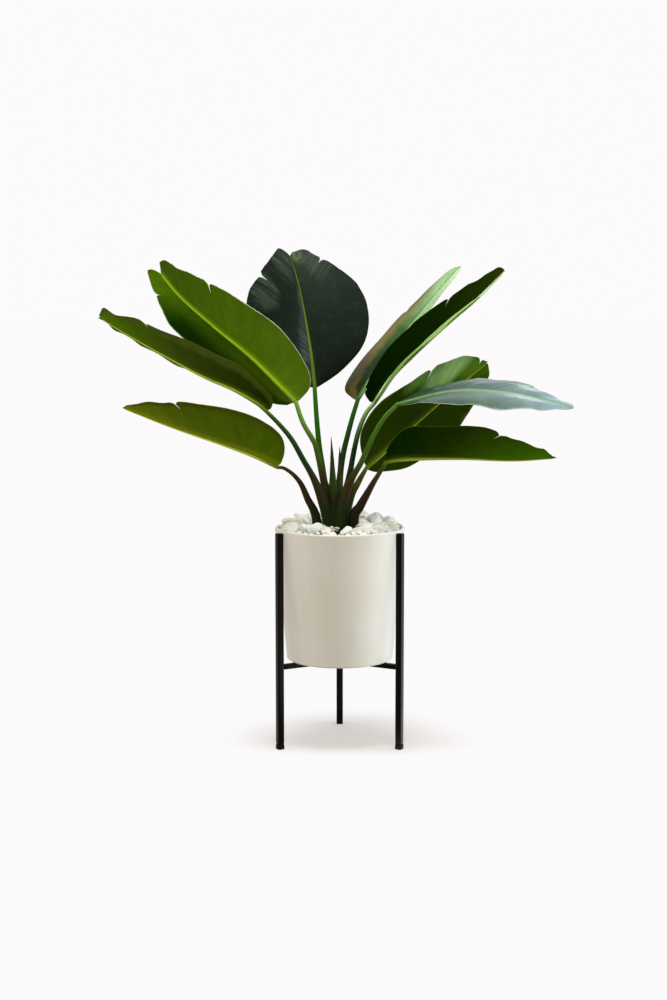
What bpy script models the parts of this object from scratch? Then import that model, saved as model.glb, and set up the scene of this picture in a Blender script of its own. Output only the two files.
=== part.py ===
"""A young banana plant in a white glazed pot on a black three-legged stand, in metres with +Z up.
Every leaf grows in an upright plane of its own: `foot` is where its stalk meets the soil, from the
pot's middle, `turn` the way it leans, in degrees from +X, and its stalk and midrib are (reach, height)
points in that plane. Left and right are seen from the foot towards the tip."""

import random
from math import cos, pi, radians, sin

import bmesh
import bpy
import numpy as np
from mathutils import Matrix, Vector

GAP = 0.0003  # between pieces that touch

LEG_HEIGHT = 0.420
LEG_WIDTH = 0.013
LEG_RING = 0.1325
LEG_TURNS = {"left": 210, "right": 330, "back": 90}
FOOT_HEIGHT = 0.010
ARM_WIDTH, ARM_THICK = 0.012, 0.0096
HUB_RADIUS = 0.018
BAR_ROUNDING = 0.0022

POT_HEIGHT = 0.2584
POT_RIM_RADIUS = 0.1254
POT_FOOT_RADIUS = 0.1030
POT_RIM_ROUNDING = 0.003
POT_WALL = 0.006
POT_FLOOR_THICK = 0.008
POT_STEPS = 44

SOIL_DROP = 0.013  # soil below the rim
BED_THICK = 0.007  # the lowest layer of small stones
STONE_COUNT = 58
STONE_SIZES = (0.0115, 0.0155)
STONE_RISE = (0.30, 0.60)  # of a stone's size, from the bed to its middle
STONE_APART = 0.78
STONE_SEED = 11
# the two stones in front of the heart, and the places kept free there: x, y, size
FRONT_STONES = [(0.0136, -0.092, 0.0138), (-0.0240, -0.094, 0.0125)]
FRONT_DIP = [(-0.020, -0.048, 0.012), (0.010, -0.048, 0.012), (-0.004, -0.076, 0.012), (-0.006, -0.100, 0.006)]

BLADE_THICK = 0.0010
BLADE_SHARES = (0, 0.03, 0.08, 0.15, 0.25, 0.35, 0.45, 0.55, 0.65, 0.75, 0.85, 0.92, 1)
BLADE_COLUMNS = (0.0, 0.36, 0.70, 0.86, 1.0)
BLADE_BOW = 0.20
VEIN_SLANT = 55  # how far the side veins lean forward at the tip, in degrees
STALK_POINTS = 11
RIB_POINTS = 8
RIB_TIP_RADIUS = 0.0011
STALK_DEPTH = 0.046  # below the soil's top
HOLE_CLEARANCE = 0.0006

ARM_HEIGHT = 0.1609
POT_BASE = ARM_HEIGHT + ARM_THICK / 2 + GAP
POT_TOP = POT_BASE + POT_HEIGHT
SOIL_TOP = POT_TOP - SOIL_DROP

LEAVES = {
    "leaf_low_left": dict(
        foot=(-0.046, -0.012), turn=198, thick=(0.0066, 0.0036), wave=0.003,
        stalk=[(0.002, 0.440), (0.018, 0.480), (0.030, 0.509), (0.045, 0.528), (0.063, 0.541)],
        rib=[(0.077, 0.543), (0.115, 0.563), (0.183, 0.590), (0.280, 0.625), (0.371, 0.662)],
        left=(15, 50, 90, 116, 125, 128, 122, 108, 92, 70, 46, 26, 5), left_lift=(38, 34),
        right=(10, 40, 75, 100, 115, 118, 112, 100, 84, 64, 42, 24, 5), right_lift=(22, 22),
        tears=[("left", 0.51, 0.30, 4)],
    ),
    "leaf_mid_left": dict(
        foot=(-0.025, -0.017), turn=212, thick=(0.0076, 0.0040), wave=0.003,
        stalk=[(0.000, 0.430), (0.015, 0.484), (0.031, 0.524), (0.053, 0.560), (0.077, 0.598),
               (0.103, 0.627)],
        rib=[(0.132, 0.654), (0.154, 0.672), (0.202, 0.698), (0.265, 0.724), (0.352, 0.768),
             (0.426, 0.808), (0.467, 0.832)],
        left=(12, 28, 42, 60, 86, 106, 102, 98, 98, 82, 60, 54, 12), left_lift=(30, 22),
        right=(20, 40, 65, 80, 90, 92, 90, 84, 74, 60, 40, 24, 6), right_lift=(10, 5),
        tears=[("left", 0.65, 0.30, 4)],
    ),
    "leaf_high_left": dict(
        foot=(-0.017, 0.002), turn=210, thick=(0.0076, 0.0044), wave=0.003,
        stalk=[(0.000, 0.426), (0.017, 0.515), (0.032, 0.578), (0.040, 0.595), (0.061, 0.628)],
        rib=[(0.076, 0.667), (0.105, 0.696), (0.171, 0.755), (0.244, 0.810), (0.312, 0.865),
             (0.353, 0.909)],
        left=(8, 46, 72, 92, 110, 119, 124, 122, 108, 91, 70, 52, 35), left_lift=(34, 34),
        right=(25, 54, 68, 82, 108, 126, 123, 112, 96, 74, 60, 48, 28), right_lift=(-22, -22),
        tears=[("left", 0.59, 0.30, 4), ("right", 0.77, 0.15, 4)],
    ),
    "leaf_back": dict(
        foot=(-0.020, 0.020), turn=110, thick=(0.0070, 0.0042), wave=0.003,
        stalk=[(0.000, 0.430), (0.022, 0.485), (0.042, 0.535), (0.060, 0.575), (0.075, 0.630)],
        rib=[(0.086, 0.686), (0.110, 0.757), (0.162, 0.856), (0.205, 0.912), (0.237, 0.944)],
        left=(10, 50, 103, 139, 152, 148, 131, 115, 96, 78, 59, 46, 30), left_lift=(8, 8),
        right=(5, 26, 68, 120, 152, 156, 142, 123, 102, 85, 64, 48, 18), right_lift=(8, 8),
        tears=[("left", 0.48, 0.15, 5), ("right", 0.675, 0.15, 4)],
    ),
    "leaf_back_right": dict(
        foot=(0.000, 0.027), turn=54, thick=(0.0070, 0.0042), wave=0.003,
        stalk=[(0.000, 0.430), (0.001, 0.511), (0.011, 0.559), (0.027, 0.598), (0.043, 0.632)],
        rib=[(0.061, 0.665), (0.109, 0.708), (0.189, 0.766), (0.272, 0.821), (0.354, 0.875),
             (0.431, 0.922)],
        left=(8, 35, 82, 104, 114, 116, 123, 113, 98, 84, 72, 52, 10), left_lift=(-22, -18),
        right=(5, 14, 28, 42, 52, 57, 58, 56, 55, 50, 37, 23, 5), right_lift=(28, 26),
        tears=[("left", 0.525, 0.15, 3)],
    ),
    "leaf_high_right": dict(
        foot=(0.008, 0.010), turn=22, thick=(0.0070, 0.0044), wave=0.003,
        stalk=[(0.000, 0.430), (0.011, 0.513), (0.020, 0.565), (0.031, 0.608), (0.046, 0.641)],
        rib=[(0.063, 0.660), (0.101, 0.712), (0.145, 0.751), (0.190, 0.788), (0.235, 0.823),
             (0.280, 0.857), (0.341, 0.912)],
        left=(15, 48, 62, 75, 105, 116, 117, 111, 107, 87, 61, 45, 11), left_lift=(12, 14),
        right=(8, 30, 60, 85, 105, 112, 105, 84, 60, 42, 28, 18, 6), right_lift=(13, 14),
        tears=[("left", 0.52, 0.30, 5)],
    ),
    "leaf_mid_right": dict(
        foot=(0.012, -0.004), turn=20, thick=(0.0070, 0.0040), wave=0.003,
        stalk=[(0.000, 0.427), (0.012, 0.481), (0.025, 0.506), (0.033, 0.521)],
        rib=[(0.043, 0.538), (0.087, 0.574), (0.137, 0.615), (0.193, 0.658), (0.257, 0.708),
             (0.293, 0.733)],
        left=(10, 31, 57, 96, 126, 139, 134, 120, 105, 88, 60, 37, 8), left_lift=(-58, -52),
        right=(15, 76, 107, 121, 123, 126, 124, 115, 96, 73, 47, 25, 8), right_lift=(60, 50),
        tears=[("right", 0.395, 0.30, 4), ("right", 0.90, 0.30, 3)],
    ),
    "leaf_front_right": dict(
        foot=(0.006, -0.022), turn=-34, thick=(0.0072, 0.0042), wave=0.002,
        stalk=[(0.000, 0.430), (0.009, 0.489), (0.023, 0.524), (0.042, 0.554), (0.069, 0.605),
               (0.094, 0.641)],
        rib=[(0.124, 0.668), (0.164, 0.679), (0.203, 0.689), (0.242, 0.696), (0.293, 0.700),
             (0.372, 0.697), (0.431, 0.687), (0.485, 0.677)],
        left=(30, 85, 105, 100, 88, 88, 86, 80, 56, 48, 35, 25, 5), left_lift=(12, 9),
        right=(4, 9, 18, 34, 62, 85, 104, 95, 82, 59, 39, 24, 5), right_lift=(-24, -24),
        tears=[("left", 0.58, 0.15, 3)],
    ),
    "leaf_low_right": dict(
        foot=(0.030, -0.025), turn=-28, thick=(0.0066, 0.0040), wave=0.003,
        stalk=[(0.001, 0.442), (0.012, 0.464), (0.025, 0.488), (0.038, 0.512), (0.051, 0.533)],
        rib=[(0.065, 0.555), (0.095, 0.562), (0.142, 0.566), (0.229, 0.570), (0.324, 0.571),
             (0.406, 0.579)],
        left=(8, 30, 60, 80, 95, 100, 98, 88, 74, 56, 36, 20, 5), left_lift=(10, 10),
        right=(6, 22, 57, 104, 122, 138, 140, 123, 105, 81, 52, 28, 5), right_lift=(40, 35),
        tears=[("right", 0.50, 0.30, 4)],
    ),
}

SHOOTS = {
    "shoot_tall": dict(foot=(-0.0105, -0.0145), tip=(-0.0165, -0.016, 0.600), thick=0.0058),
    "shoot_short": dict(foot=(-0.001, -0.003), tip=(0.000, -0.006, 0.580), thick=0.0056),
}


def clear_scene():
    for obj in list(bpy.data.objects):
        bpy.data.objects.remove(obj, do_unlink=True)


def make_collection(name, rendered=True):
    collection = bpy.data.collections.new(name)
    collection.hide_render = not rendered
    bpy.context.scene.collection.children.link(collection)
    return collection


def make_material(name, color, roughness, metallic=0.0):
    material = bpy.data.materials.new(name)
    material.use_nodes = True
    shader = material.node_tree.nodes["Principled BSDF"]
    shader.inputs["Base Color"].default_value = (*color, 1.0)
    shader.inputs["Roughness"].default_value = roughness
    shader.inputs["Metallic"].default_value = metallic
    return material


def add_object(name, mesh, material, smooth_angle=None):
    obj = bpy.data.objects.new(name, mesh)
    part_collection.objects.link(obj)
    obj.data.materials.append(material)
    obj.parent = root
    if smooth_angle is not None:
        mesh.shade_smooth()
        mesh.set_sharp_from_angle(angle=radians(smooth_angle))
    return obj


def make_helper(name, mesh):
    obj = bpy.data.objects.new(name, mesh)
    helper_collection.objects.link(obj)
    obj.parent = root
    obj.hide_render = True
    obj.display_type = "WIRE"
    return obj


def mesh_from(bm, name):
    mesh = bpy.data.meshes.new(name)
    bm.to_mesh(mesh)
    bm.free()
    return mesh


def bar_object(name, size, material, rounding=BAR_ROUNDING):
    """A bar with rounded edges, standing on the origin."""
    bm = bmesh.new()
    bmesh.ops.create_cube(bm, size=1)
    for vert in bm.verts:
        vert.co = Vector(((vert.co.x) * size[0], vert.co.y * size[1], (vert.co.z + 0.5) * size[2]))
    obj = add_object(name, mesh_from(bm, name), material, 40)
    bevel = obj.modifiers.new("soft edges", "BEVEL")
    bevel.width = rounding
    bevel.segments = 3
    return obj


def turned_object(name, profile, steps, material):
    """Turns a profile of (radius, height) points, which runs down its outer side."""
    mesh = bpy.data.meshes.new(name)
    points = [(radius, 0, height) for radius, height in profile]
    edges = [(i, i + 1) for i in range(len(points) - 1)]
    mesh.from_pydata(points, edges, [])
    obj = add_object(name, mesh, material)
    screw = obj.modifiers.new("turn", "SCREW")
    screw.angle = 2 * pi
    screw.steps = steps
    screw.render_steps = steps
    screw.use_merge_vertices = True
    screw.merge_threshold = 0.0001
    screw.use_smooth_shade = True
    return obj


def add_boolean(obj, kind, other, solver="EXACT"):
    boolean = obj.modifiers.new(kind.lower(), "BOOLEAN")
    boolean.operation = kind
    boolean.solver = solver
    if isinstance(other, bpy.types.Collection):
        boolean.operand_type = "COLLECTION"
        boolean.collection = other
    else:
        boolean.object = other
    return boolean


def arc(center, radius, start, end, count):
    """Points on an arc in the profile plane, angles in degrees from +radius towards +height."""
    turns = [radians(start + (end - start) * i / (count - 1)) for i in range(count)]
    return [(center[0] + radius * cos(a), center[1] + radius * sin(a)) for a in turns]


def make_stand():
    for name, turn in LEG_TURNS.items():
        way = radians(turn)
        side = Vector((cos(way), sin(way), 0))
        leg_length = LEG_HEIGHT - FOOT_HEIGHT - GAP
        leg = bar_object(f"leg_{name}", (LEG_WIDTH, LEG_WIDTH, leg_length), black_steel)
        leg.location = side * LEG_RING + Vector((0, 0, LEG_HEIGHT - leg_length))
        leg.rotation_euler.z = way
        foot = bar_object(f"foot_{name}", (LEG_WIDTH, LEG_WIDTH, FOOT_HEIGHT), black_rubber, 0.0015)
        foot.location = side * LEG_RING
        foot.rotation_euler.z = way
        arm_length = LEG_RING - LEG_WIDTH / 2 - HUB_RADIUS - 2 * GAP
        arm = bar_object(f"arm_{name}", (ARM_THICK, ARM_WIDTH, arm_length), black_steel, 0.0016)
        arm.rotation_euler = (0, radians(90), way)
        arm.location = side * (HUB_RADIUS + GAP) + Vector((0, 0, ARM_HEIGHT))
    low, high = ARM_HEIGHT - ARM_THICK / 2, ARM_HEIGHT + ARM_THICK / 2
    soft = 0.0012
    turned_object(
        "hub",
        [(0, high)] + arc((HUB_RADIUS - soft, high - soft), soft, 90, 0, 3)
        + arc((HUB_RADIUS - soft, low + soft), soft, 0, -90, 3) + [(0, low)],
        24, black_steel,
    )


def inner_radius(height):
    """The pot's inner wall at a height."""
    share = (height - POT_BASE) / POT_HEIGHT
    return POT_FOOT_RADIUS + (POT_RIM_RADIUS - POT_FOOT_RADIUS) * share - POT_WALL


def make_pot():
    floor = POT_BASE + POT_FLOOR_THICK
    soft = POT_RIM_ROUNDING
    profile = [(0, floor)]
    profile += [(inner_radius(floor) - 0.004, floor), (inner_radius(floor), floor + 0.004)]
    profile += [(inner_radius(POT_TOP - 0.002), POT_TOP - 0.002), (inner_radius(POT_TOP) + 0.0015, POT_TOP)]
    profile += arc((POT_RIM_RADIUS - soft, POT_TOP - soft), soft, 80, 0, 4)
    profile += arc((POT_FOOT_RADIUS - 0.005, POT_BASE + 0.005), 0.005, 0, -90, 4)
    profile += [(0, POT_BASE)]
    turned_object("pot", profile, POT_STEPS, white_glaze)


def make_soil(holes):
    low = POT_BASE + POT_FLOOR_THICK + GAP
    profile = [(0, SOIL_TOP), (inner_radius(SOIL_TOP) - GAP, SOIL_TOP)]
    profile += [(inner_radius(low + 0.004) - 0.0005, low + 0.0045), (inner_radius(low) - 0.0045, low)]
    profile += [(0, low)]
    soil = turned_object("soil", profile, POT_STEPS, dark_soil)
    add_boolean(soil, "DIFFERENCE", holes)


def smooth_line(points, count):
    """Evenly spaced points on a Catmull-Rom curve through the given ones."""
    given = np.array(points, float)
    knots = np.vstack([2 * given[0] - given[1], given, 2 * given[-1] - given[-2]])
    fine = []
    for a, b, c, d in zip(knots[:-3], knots[1:-2], knots[2:-1], knots[3:]):
        for s in np.linspace(0, 1, 16, endpoint=False):
            fine.append(
                0.5 * (2 * b + (c - a) * s + (2 * a - 5 * b + 4 * c - d) * s**2
                       + (3 * b - a - 3 * c + d) * s**3)
            )
    fine = np.array(fine + [given[-1]])
    run = np.r_[0, np.cumsum(np.linalg.norm(np.diff(fine, axis=0), axis=1))]
    even = np.linspace(0, run[-1], count)
    return np.stack([np.interp(even, run, column) for column in fine.T], axis=1)


def in_space(leaf, points):
    """(reach, height) points of a leaf's upright plane, as places in space."""
    turn = radians(leaf["turn"])
    reach, height = np.array(points, float).T
    x, y = leaf["foot"]
    return np.stack([x + reach * cos(turn), y + reach * sin(turn), height], axis=1)


def rib_frames(leaf, shares):
    """Places along the midrib, and there the way onward, the right-hand way and the way up."""
    line = in_space(leaf, smooth_line(leaf["rib"], 200))
    ways = np.gradient(line, axis=0)
    run = np.linspace(0, 1, len(line))
    places = np.stack([np.interp(shares, run, column) for column in line.T], axis=1)
    onward = np.stack([np.interp(shares, run, column) for column in ways.T], axis=1)
    onward /= np.linalg.norm(onward, axis=1)[:, None]
    turn = radians(leaf["turn"])
    right = np.tile((sin(turn), -cos(turn), 0.0), (len(shares), 1))
    return places, onward, right, np.cross(right, onward)


def blade_rows(leaf, side, shares, columns):
    """The points of one half of a blade, row by row along its side veins from midrib to edge."""
    places, onward, right, up = rib_frames(leaf, shares)
    sign = 1 if side == "right" else -1
    lifts = np.radians(np.interp(shares, (0, 1), leaf[side + "_lift"]))
    widths = np.interp(shares, BLADE_SHARES, leaf[side]) / 1000
    sweeps = np.radians(VEIN_SLANT * (1 - (1 - shares) ** 3))
    rows = []
    for i, share in enumerate(shares):
        out = sign * cos(lifts[i]) * right[i] + sin(lifts[i]) * up[i]
        across = cos(sweeps[i]) * out + sin(sweeps[i]) * onward[i]
        normal = cos(lifts[i]) * up[i] - sign * sin(lifts[i]) * right[i]
        wave = leaf["wave"] * sin(2 * pi * (4.3 * share + (0.2 if side == "left" else 0.55)))
        rows.append([
            places[i] + across * widths[i] * u + normal * (wave * u**2 + BLADE_BOW * widths[i] * u * (1 - u))
            for u in columns
        ])
    return np.array(rows), onward


def add_half(bm, leaf, side, rib_verts, shares):
    """One half of a blade as a sheet, cut along its side veins where it is torn."""
    columns = BLADE_COLUMNS
    rows, onward = blade_rows(leaf, side, shares, columns)
    cuts = {}
    for where, share, depth, gape in leaf["tears"]:
        if where == side:
            row = int(np.argmin(abs(shares - share)))
            cuts[row] = (int(np.argmin(abs(np.array(columns) - (1 - depth)))), gape / 1000)
    before, after = [], []
    for i, row in enumerate(rows):
        verts = [rib_verts[i]] + [bm.verts.new(point) for point in row[1:]]
        before.append(verts)
        if i not in cuts:
            after.append(verts)
            continue
        root, gape = cuts[i]
        twins = list(verts[: root + 1])
        for j in range(root + 1, len(columns)):
            open_share = (columns[j] - columns[root]) / (1 - columns[root])
            shift = onward[i] * gape * open_share
            twins.append(bm.verts.new(row[j] + shift))
            verts[j].co = row[j] - shift
        after.append(twins)
    for i in range(len(rows) - 1):
        for j in range(len(columns) - 1):
            quad = [after[i][j], before[i + 1][j], before[i + 1][j + 1], after[i][j + 1]]
            bm.faces.new(quad if side == "left" else quad[::-1])


def blade_mesh(name, leaf):
    """The whole blade as an open sheet of triangles."""
    shares = np.array(BLADE_SHARES, float)
    for _, share, _, _ in leaf["tears"]:
        shares[np.argmin(abs(shares - share))] = share
    places, _, _, _ = rib_frames(leaf, shares)
    bm = bmesh.new()
    rib_verts = [bm.verts.new(place) for place in places]
    add_half(bm, leaf, "left", rib_verts, shares)
    add_half(bm, leaf, "right", rib_verts, shares)
    bmesh.ops.triangulate(bm, faces=bm.faces)
    bmesh.ops.recalc_face_normals(bm, faces=bm.faces)
    return mesh_from(bm, name)


def tapered_tube(name, points, radii, resolution=2):
    """A round tube through the points, its radius changing on the way, as a welded mesh."""
    curve = bpy.data.curves.new(name, "CURVE")
    curve.dimensions = "3D"
    curve.bevel_depth = 1.0
    curve.bevel_resolution = resolution
    curve.use_fill_caps = True
    spline = curve.splines.new("POLY")
    spline.points.add(len(points) - 1)
    for control, place, radius in zip(spline.points, points, radii):
        control.co = (*place, 1)
        control.radius = radius
    source = bpy.data.objects.new(name, curve)
    bpy.context.scene.collection.objects.link(source)
    graph = bpy.context.evaluated_depsgraph_get()
    mesh = bpy.data.meshes.new_from_object(source.evaluated_get(graph))
    bpy.data.objects.remove(source, do_unlink=True)
    bm = bmesh.new()
    bm.from_mesh(mesh)
    bmesh.ops.remove_doubles(bm, verts=bm.verts, dist=0.00005)
    bmesh.ops.recalc_face_normals(bm, faces=bm.faces)
    bm.to_mesh(mesh)
    bm.free()
    return mesh


def stalk_line(leaf):
    """The stalk's points and radii, from below the soil to the blade."""
    x, y = leaf["foot"]
    points = [(leaf["stalk"][0][0], SOIL_TOP - STALK_DEPTH)] + leaf["stalk"] + [leaf["rib"][0]]
    line = smooth_line(points, STALK_POINTS)
    low, high = leaf["thick"]
    shares = np.linspace(0, 1, STALK_POINTS)
    return in_space(leaf, line), low + (high - low) * shares**1.3


def make_leaf(name, leaf):
    blade = add_object(name, blade_mesh(name, leaf), leaf_green, 40)
    solid = blade.modifiers.new("thickness", "SOLIDIFY")
    solid.thickness = BLADE_THICK
    solid.offset = 0
    stalk, stalk_radii = stalk_line(leaf)
    shares = np.linspace(0, 0.97, RIB_POINTS)
    ribs, _, _, up = rib_frames(leaf, shares)
    rib_radii = leaf["thick"][1] + (RIB_TIP_RADIUS - leaf["thick"][1]) * shares**0.7
    ribs = ribs - up * (rib_radii - BLADE_THICK)[:, None] * np.minimum(shares * 8, 1)[:, None]
    points = np.vstack([stalk[:-1], ribs])
    radii = np.r_[stalk_radii[:-1], rib_radii]
    add_boolean(blade, "UNION", make_helper(name + "_stalk", tapered_tube(name, points, radii)))


def make_hole(name, points, radii):
    hole = make_helper(name, tapered_tube(name, points, radii, 2))
    hole_collection.objects.link(hole)
    helper_collection.objects.unlink(hole)


def make_holes():
    """Plain holes for the stalks and shoots in the soil and the stone layer."""
    deeper = np.array((0, 0, 0.0006))
    for name, leaf in LEAVES.items():
        points, radii = stalk_line(leaf)
        keep = points[:, 2] < POT_TOP + 0.05
        points = points[keep]
        points[0] -= deeper
        make_hole("hole_" + name, points, radii[keep] + HOLE_CLEARANCE)
    for name, shoot in SHOOTS.items():
        points, radii = shoot_line(shoot)
        points[0] -= deeper
        make_hole("hole_" + name, points[:4], radii[:4] + HOLE_CLEARANCE)


def shoot_line(shoot):
    low = np.array((*shoot["foot"], SOIL_TOP - STALK_DEPTH))
    tip = np.array(shoot["tip"])
    shares = np.linspace(0, 1, 8)
    points = low + (tip - low) * shares[:, None]
    points[:, 0] = shoot["foot"][0] + (tip[0] - shoot["foot"][0]) * shares**2
    return points, shoot["thick"] * (1 - 0.93 * shares**2.2)


def make_shoot(name, shoot):
    points, radii = shoot_line(shoot)
    add_object(name, tapered_tube(name, points, radii), shoot_green, 40)


def stone_places():
    """Stones scattered over the soil, none too near another, a stalk or the pot's wall."""
    draw = random.Random(STONE_SEED)
    wall = inner_radius(SOIL_TOP)
    stalks = []
    for leaf in LEAVES.values():
        points, radii = stalk_line(leaf)
        near = [(p, r) for p, r in zip(points, radii) if SOIL_TOP - 0.01 < p[2] < POT_TOP + 0.03]
        stalks += [(p[0], p[1], r) for p, r in near]
    for shoot in SHOOTS.values():
        stalks.append((*shoot["foot"], shoot["thick"]))
    free = stalks + FRONT_DIP
    placed = [((x, y, SOIL_TOP + BED_THICK + 0.55 * size), size) for x, y, size in FRONT_STONES]
    for _ in range(9000):
        size = draw.uniform(*STONE_SIZES)
        turn, reach = draw.uniform(0, 2 * pi), (wall - 1.18 * size) * draw.random() ** 0.5
        x, y = reach * cos(turn), reach * sin(turn)
        if any((x - a) ** 2 + (y - b) ** 2 < (0.85 * size + r) ** 2 for a, b, r in free):
            continue
        if any((x - p[0]) ** 2 + (y - p[1]) ** 2 < (STONE_APART * (size + s)) ** 2 for p, s in placed):
            continue
        placed.append(((x, y, SOIL_TOP + BED_THICK + draw.uniform(*STONE_RISE) * size), size))
        if len(placed) == STONE_COUNT:
            break
    return placed


def stone_mesh(name, place, size, draw):
    """A chunky rounded stone, turned and stretched at random."""
    bm = bmesh.new()
    bmesh.ops.create_cube(bm, size=2)
    bmesh.ops.subdivide_edges(bm, edges=bm.edges, cuts=1, use_grid_fill=True)
    stretch = Matrix.Diagonal((draw.uniform(0.92, 1.12), draw.uniform(0.78, 1.0), draw.uniform(0.62, 0.78)))
    turn = Matrix.Rotation(draw.uniform(0, 2 * pi), 3, "Z")
    turn = turn @ Matrix.Rotation(draw.uniform(-0.4, 0.4), 3, "X")
    for vert in bm.verts:
        round_place = vert.co.normalized() * draw.uniform(0.94, 1.04)
        vert.co = turn @ stretch @ round_place * size + Vector(place)
    bmesh.ops.recalc_face_normals(bm, faces=bm.faces)
    return mesh_from(bm, name)


def make_pebbles(holes):
    bed = turned_object(
        "pebbles",
        [(0, SOIL_TOP + BED_THICK), (inner_radius(SOIL_TOP) - 0.0012, SOIL_TOP + BED_THICK),
         (inner_radius(SOIL_TOP) - 0.0012, SOIL_TOP + GAP), (0, SOIL_TOP + GAP)],
        POT_STEPS, pale_stone,
    )
    draw = random.Random(STONE_SEED + 1)
    stones = make_collection("stones", rendered=False)
    for index, (place, size) in enumerate(stone_places()):
        stone = bpy.data.objects.new(f"stone_{index}", stone_mesh(f"stone_{index}", place, size, draw))
        stone.parent = root
        stones.objects.link(stone)
    add_boolean(bed, "UNION", stones)
    add_boolean(bed, "DIFFERENCE", holes)


def center_root():
    """Puts the root's origin at the middle of the footprint of everything."""
    graph = bpy.context.evaluated_depsgraph_get()
    low, high = np.full(3, np.inf), np.full(3, -np.inf)
    for obj in part_collection.objects:
        if obj.type != "MESH":
            continue
        evaluated = obj.evaluated_get(graph)
        mesh = evaluated.to_mesh()
        points = np.array([evaluated.matrix_world @ vert.co for vert in mesh.vertices])
        low, high = np.minimum(low, points.min(axis=0)), np.maximum(high, points.max(axis=0))
        evaluated.to_mesh_clear()
    middle = (low + high) / 2
    root.location = (-middle[0], -middle[1], 0)


clear_scene()
part_collection = make_collection("potted_banana_plant")
helper_collection = make_collection("helpers", rendered=False)
hole_collection = make_collection("holes", rendered=False)
root = bpy.data.objects.new("plant_root", None)
part_collection.objects.link(root)

white_glaze = make_material("white_glaze", (0.80, 0.79, 0.75), 0.18)
black_steel = make_material("black_steel", (0.012, 0.011, 0.010), 0.38, 0.4)
black_rubber = make_material("black_rubber", (0.015, 0.015, 0.015), 0.7)
dark_soil = make_material("dark_soil", (0.030, 0.020, 0.013), 0.95)
pale_stone = make_material("pale_stone", (0.72, 0.72, 0.69), 0.5)
leaf_green = make_material("leaf_green", (0.045, 0.110, 0.010), 0.32)
shoot_green = make_material("shoot_green", (0.030, 0.040, 0.012), 0.45)

make_stand()
make_pot()
make_holes()
make_soil(hole_collection)
make_pebbles(hole_collection)
for leaf_name, leaf_shape in LEAVES.items():
    make_leaf(leaf_name, leaf_shape)
for shoot_name, shoot_shape in SHOOTS.items():
    make_shoot(shoot_name, shoot_shape)
center_root()
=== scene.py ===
import random
from math import cos, pi, radians, sin
import bmesh
import bpy
import numpy as np
from mathutils import Matrix, Vector


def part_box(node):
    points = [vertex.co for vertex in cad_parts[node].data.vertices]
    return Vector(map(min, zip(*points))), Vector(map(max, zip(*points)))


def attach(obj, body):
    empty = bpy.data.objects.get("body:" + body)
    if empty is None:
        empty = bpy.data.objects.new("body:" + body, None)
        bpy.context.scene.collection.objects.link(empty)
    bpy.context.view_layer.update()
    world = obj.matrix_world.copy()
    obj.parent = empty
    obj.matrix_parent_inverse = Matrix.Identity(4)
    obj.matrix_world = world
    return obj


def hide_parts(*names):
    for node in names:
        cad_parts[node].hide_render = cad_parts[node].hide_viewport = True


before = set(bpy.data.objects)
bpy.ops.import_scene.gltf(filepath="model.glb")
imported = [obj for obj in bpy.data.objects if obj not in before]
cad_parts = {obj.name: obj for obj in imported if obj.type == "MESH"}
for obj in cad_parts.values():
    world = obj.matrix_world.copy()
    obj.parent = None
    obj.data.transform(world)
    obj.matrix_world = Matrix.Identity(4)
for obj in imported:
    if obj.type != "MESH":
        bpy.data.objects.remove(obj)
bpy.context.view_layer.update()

scene = bpy.context.scene
potLow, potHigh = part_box("pot")
potBase, potTop = potLow.z, potHigh.z
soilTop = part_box("soil")[1].z
axisPlace = np.array([(potLow.x + potHigh.x) / 2, (potLow.y + potHigh.y) / 2, 0.0])  # the pot's axis


# shader tools

class Wire:
    # a node's output that can be worked with like a number
    def __init__(self, finish, socket):
        self.finish = finish
        self.socket = socket

    def math(self, operation, *others):
        return self.finish.node("ShaderNodeMath", {"operation": operation}, dict(enumerate(others)))

    def __add__(self, other):
        return self.math("ADD", self, other)

    def __radd__(self, other):
        return self.math("ADD", other, self)

    def __sub__(self, other):
        return self.math("SUBTRACT", self, other)

    def __rsub__(self, other):
        return self.math("SUBTRACT", other, self)

    def __mul__(self, other):
        return self.math("MULTIPLY", self, other)

    def __rmul__(self, other):
        return self.math("MULTIPLY", other, self)

    def __truediv__(self, other):
        return self.math("DIVIDE", self, other)

    def __rtruediv__(self, other):
        return self.math("DIVIDE", other, self)

    def __abs__(self):
        return self.math("ABSOLUTE", self)

    def __gt__(self, other):
        return self.math("GREATER_THAN", self, other)

    def ease(self, low, high):
        # 0 below low, 1 above high, smooth between
        settings = {"interpolation_type": "SMOOTHSTEP"}
        return self.finish.node("ShaderNodeMapRange", settings, {0: self, 1: low, 2: high, 3: 0.0, 4: 1.0})


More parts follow.
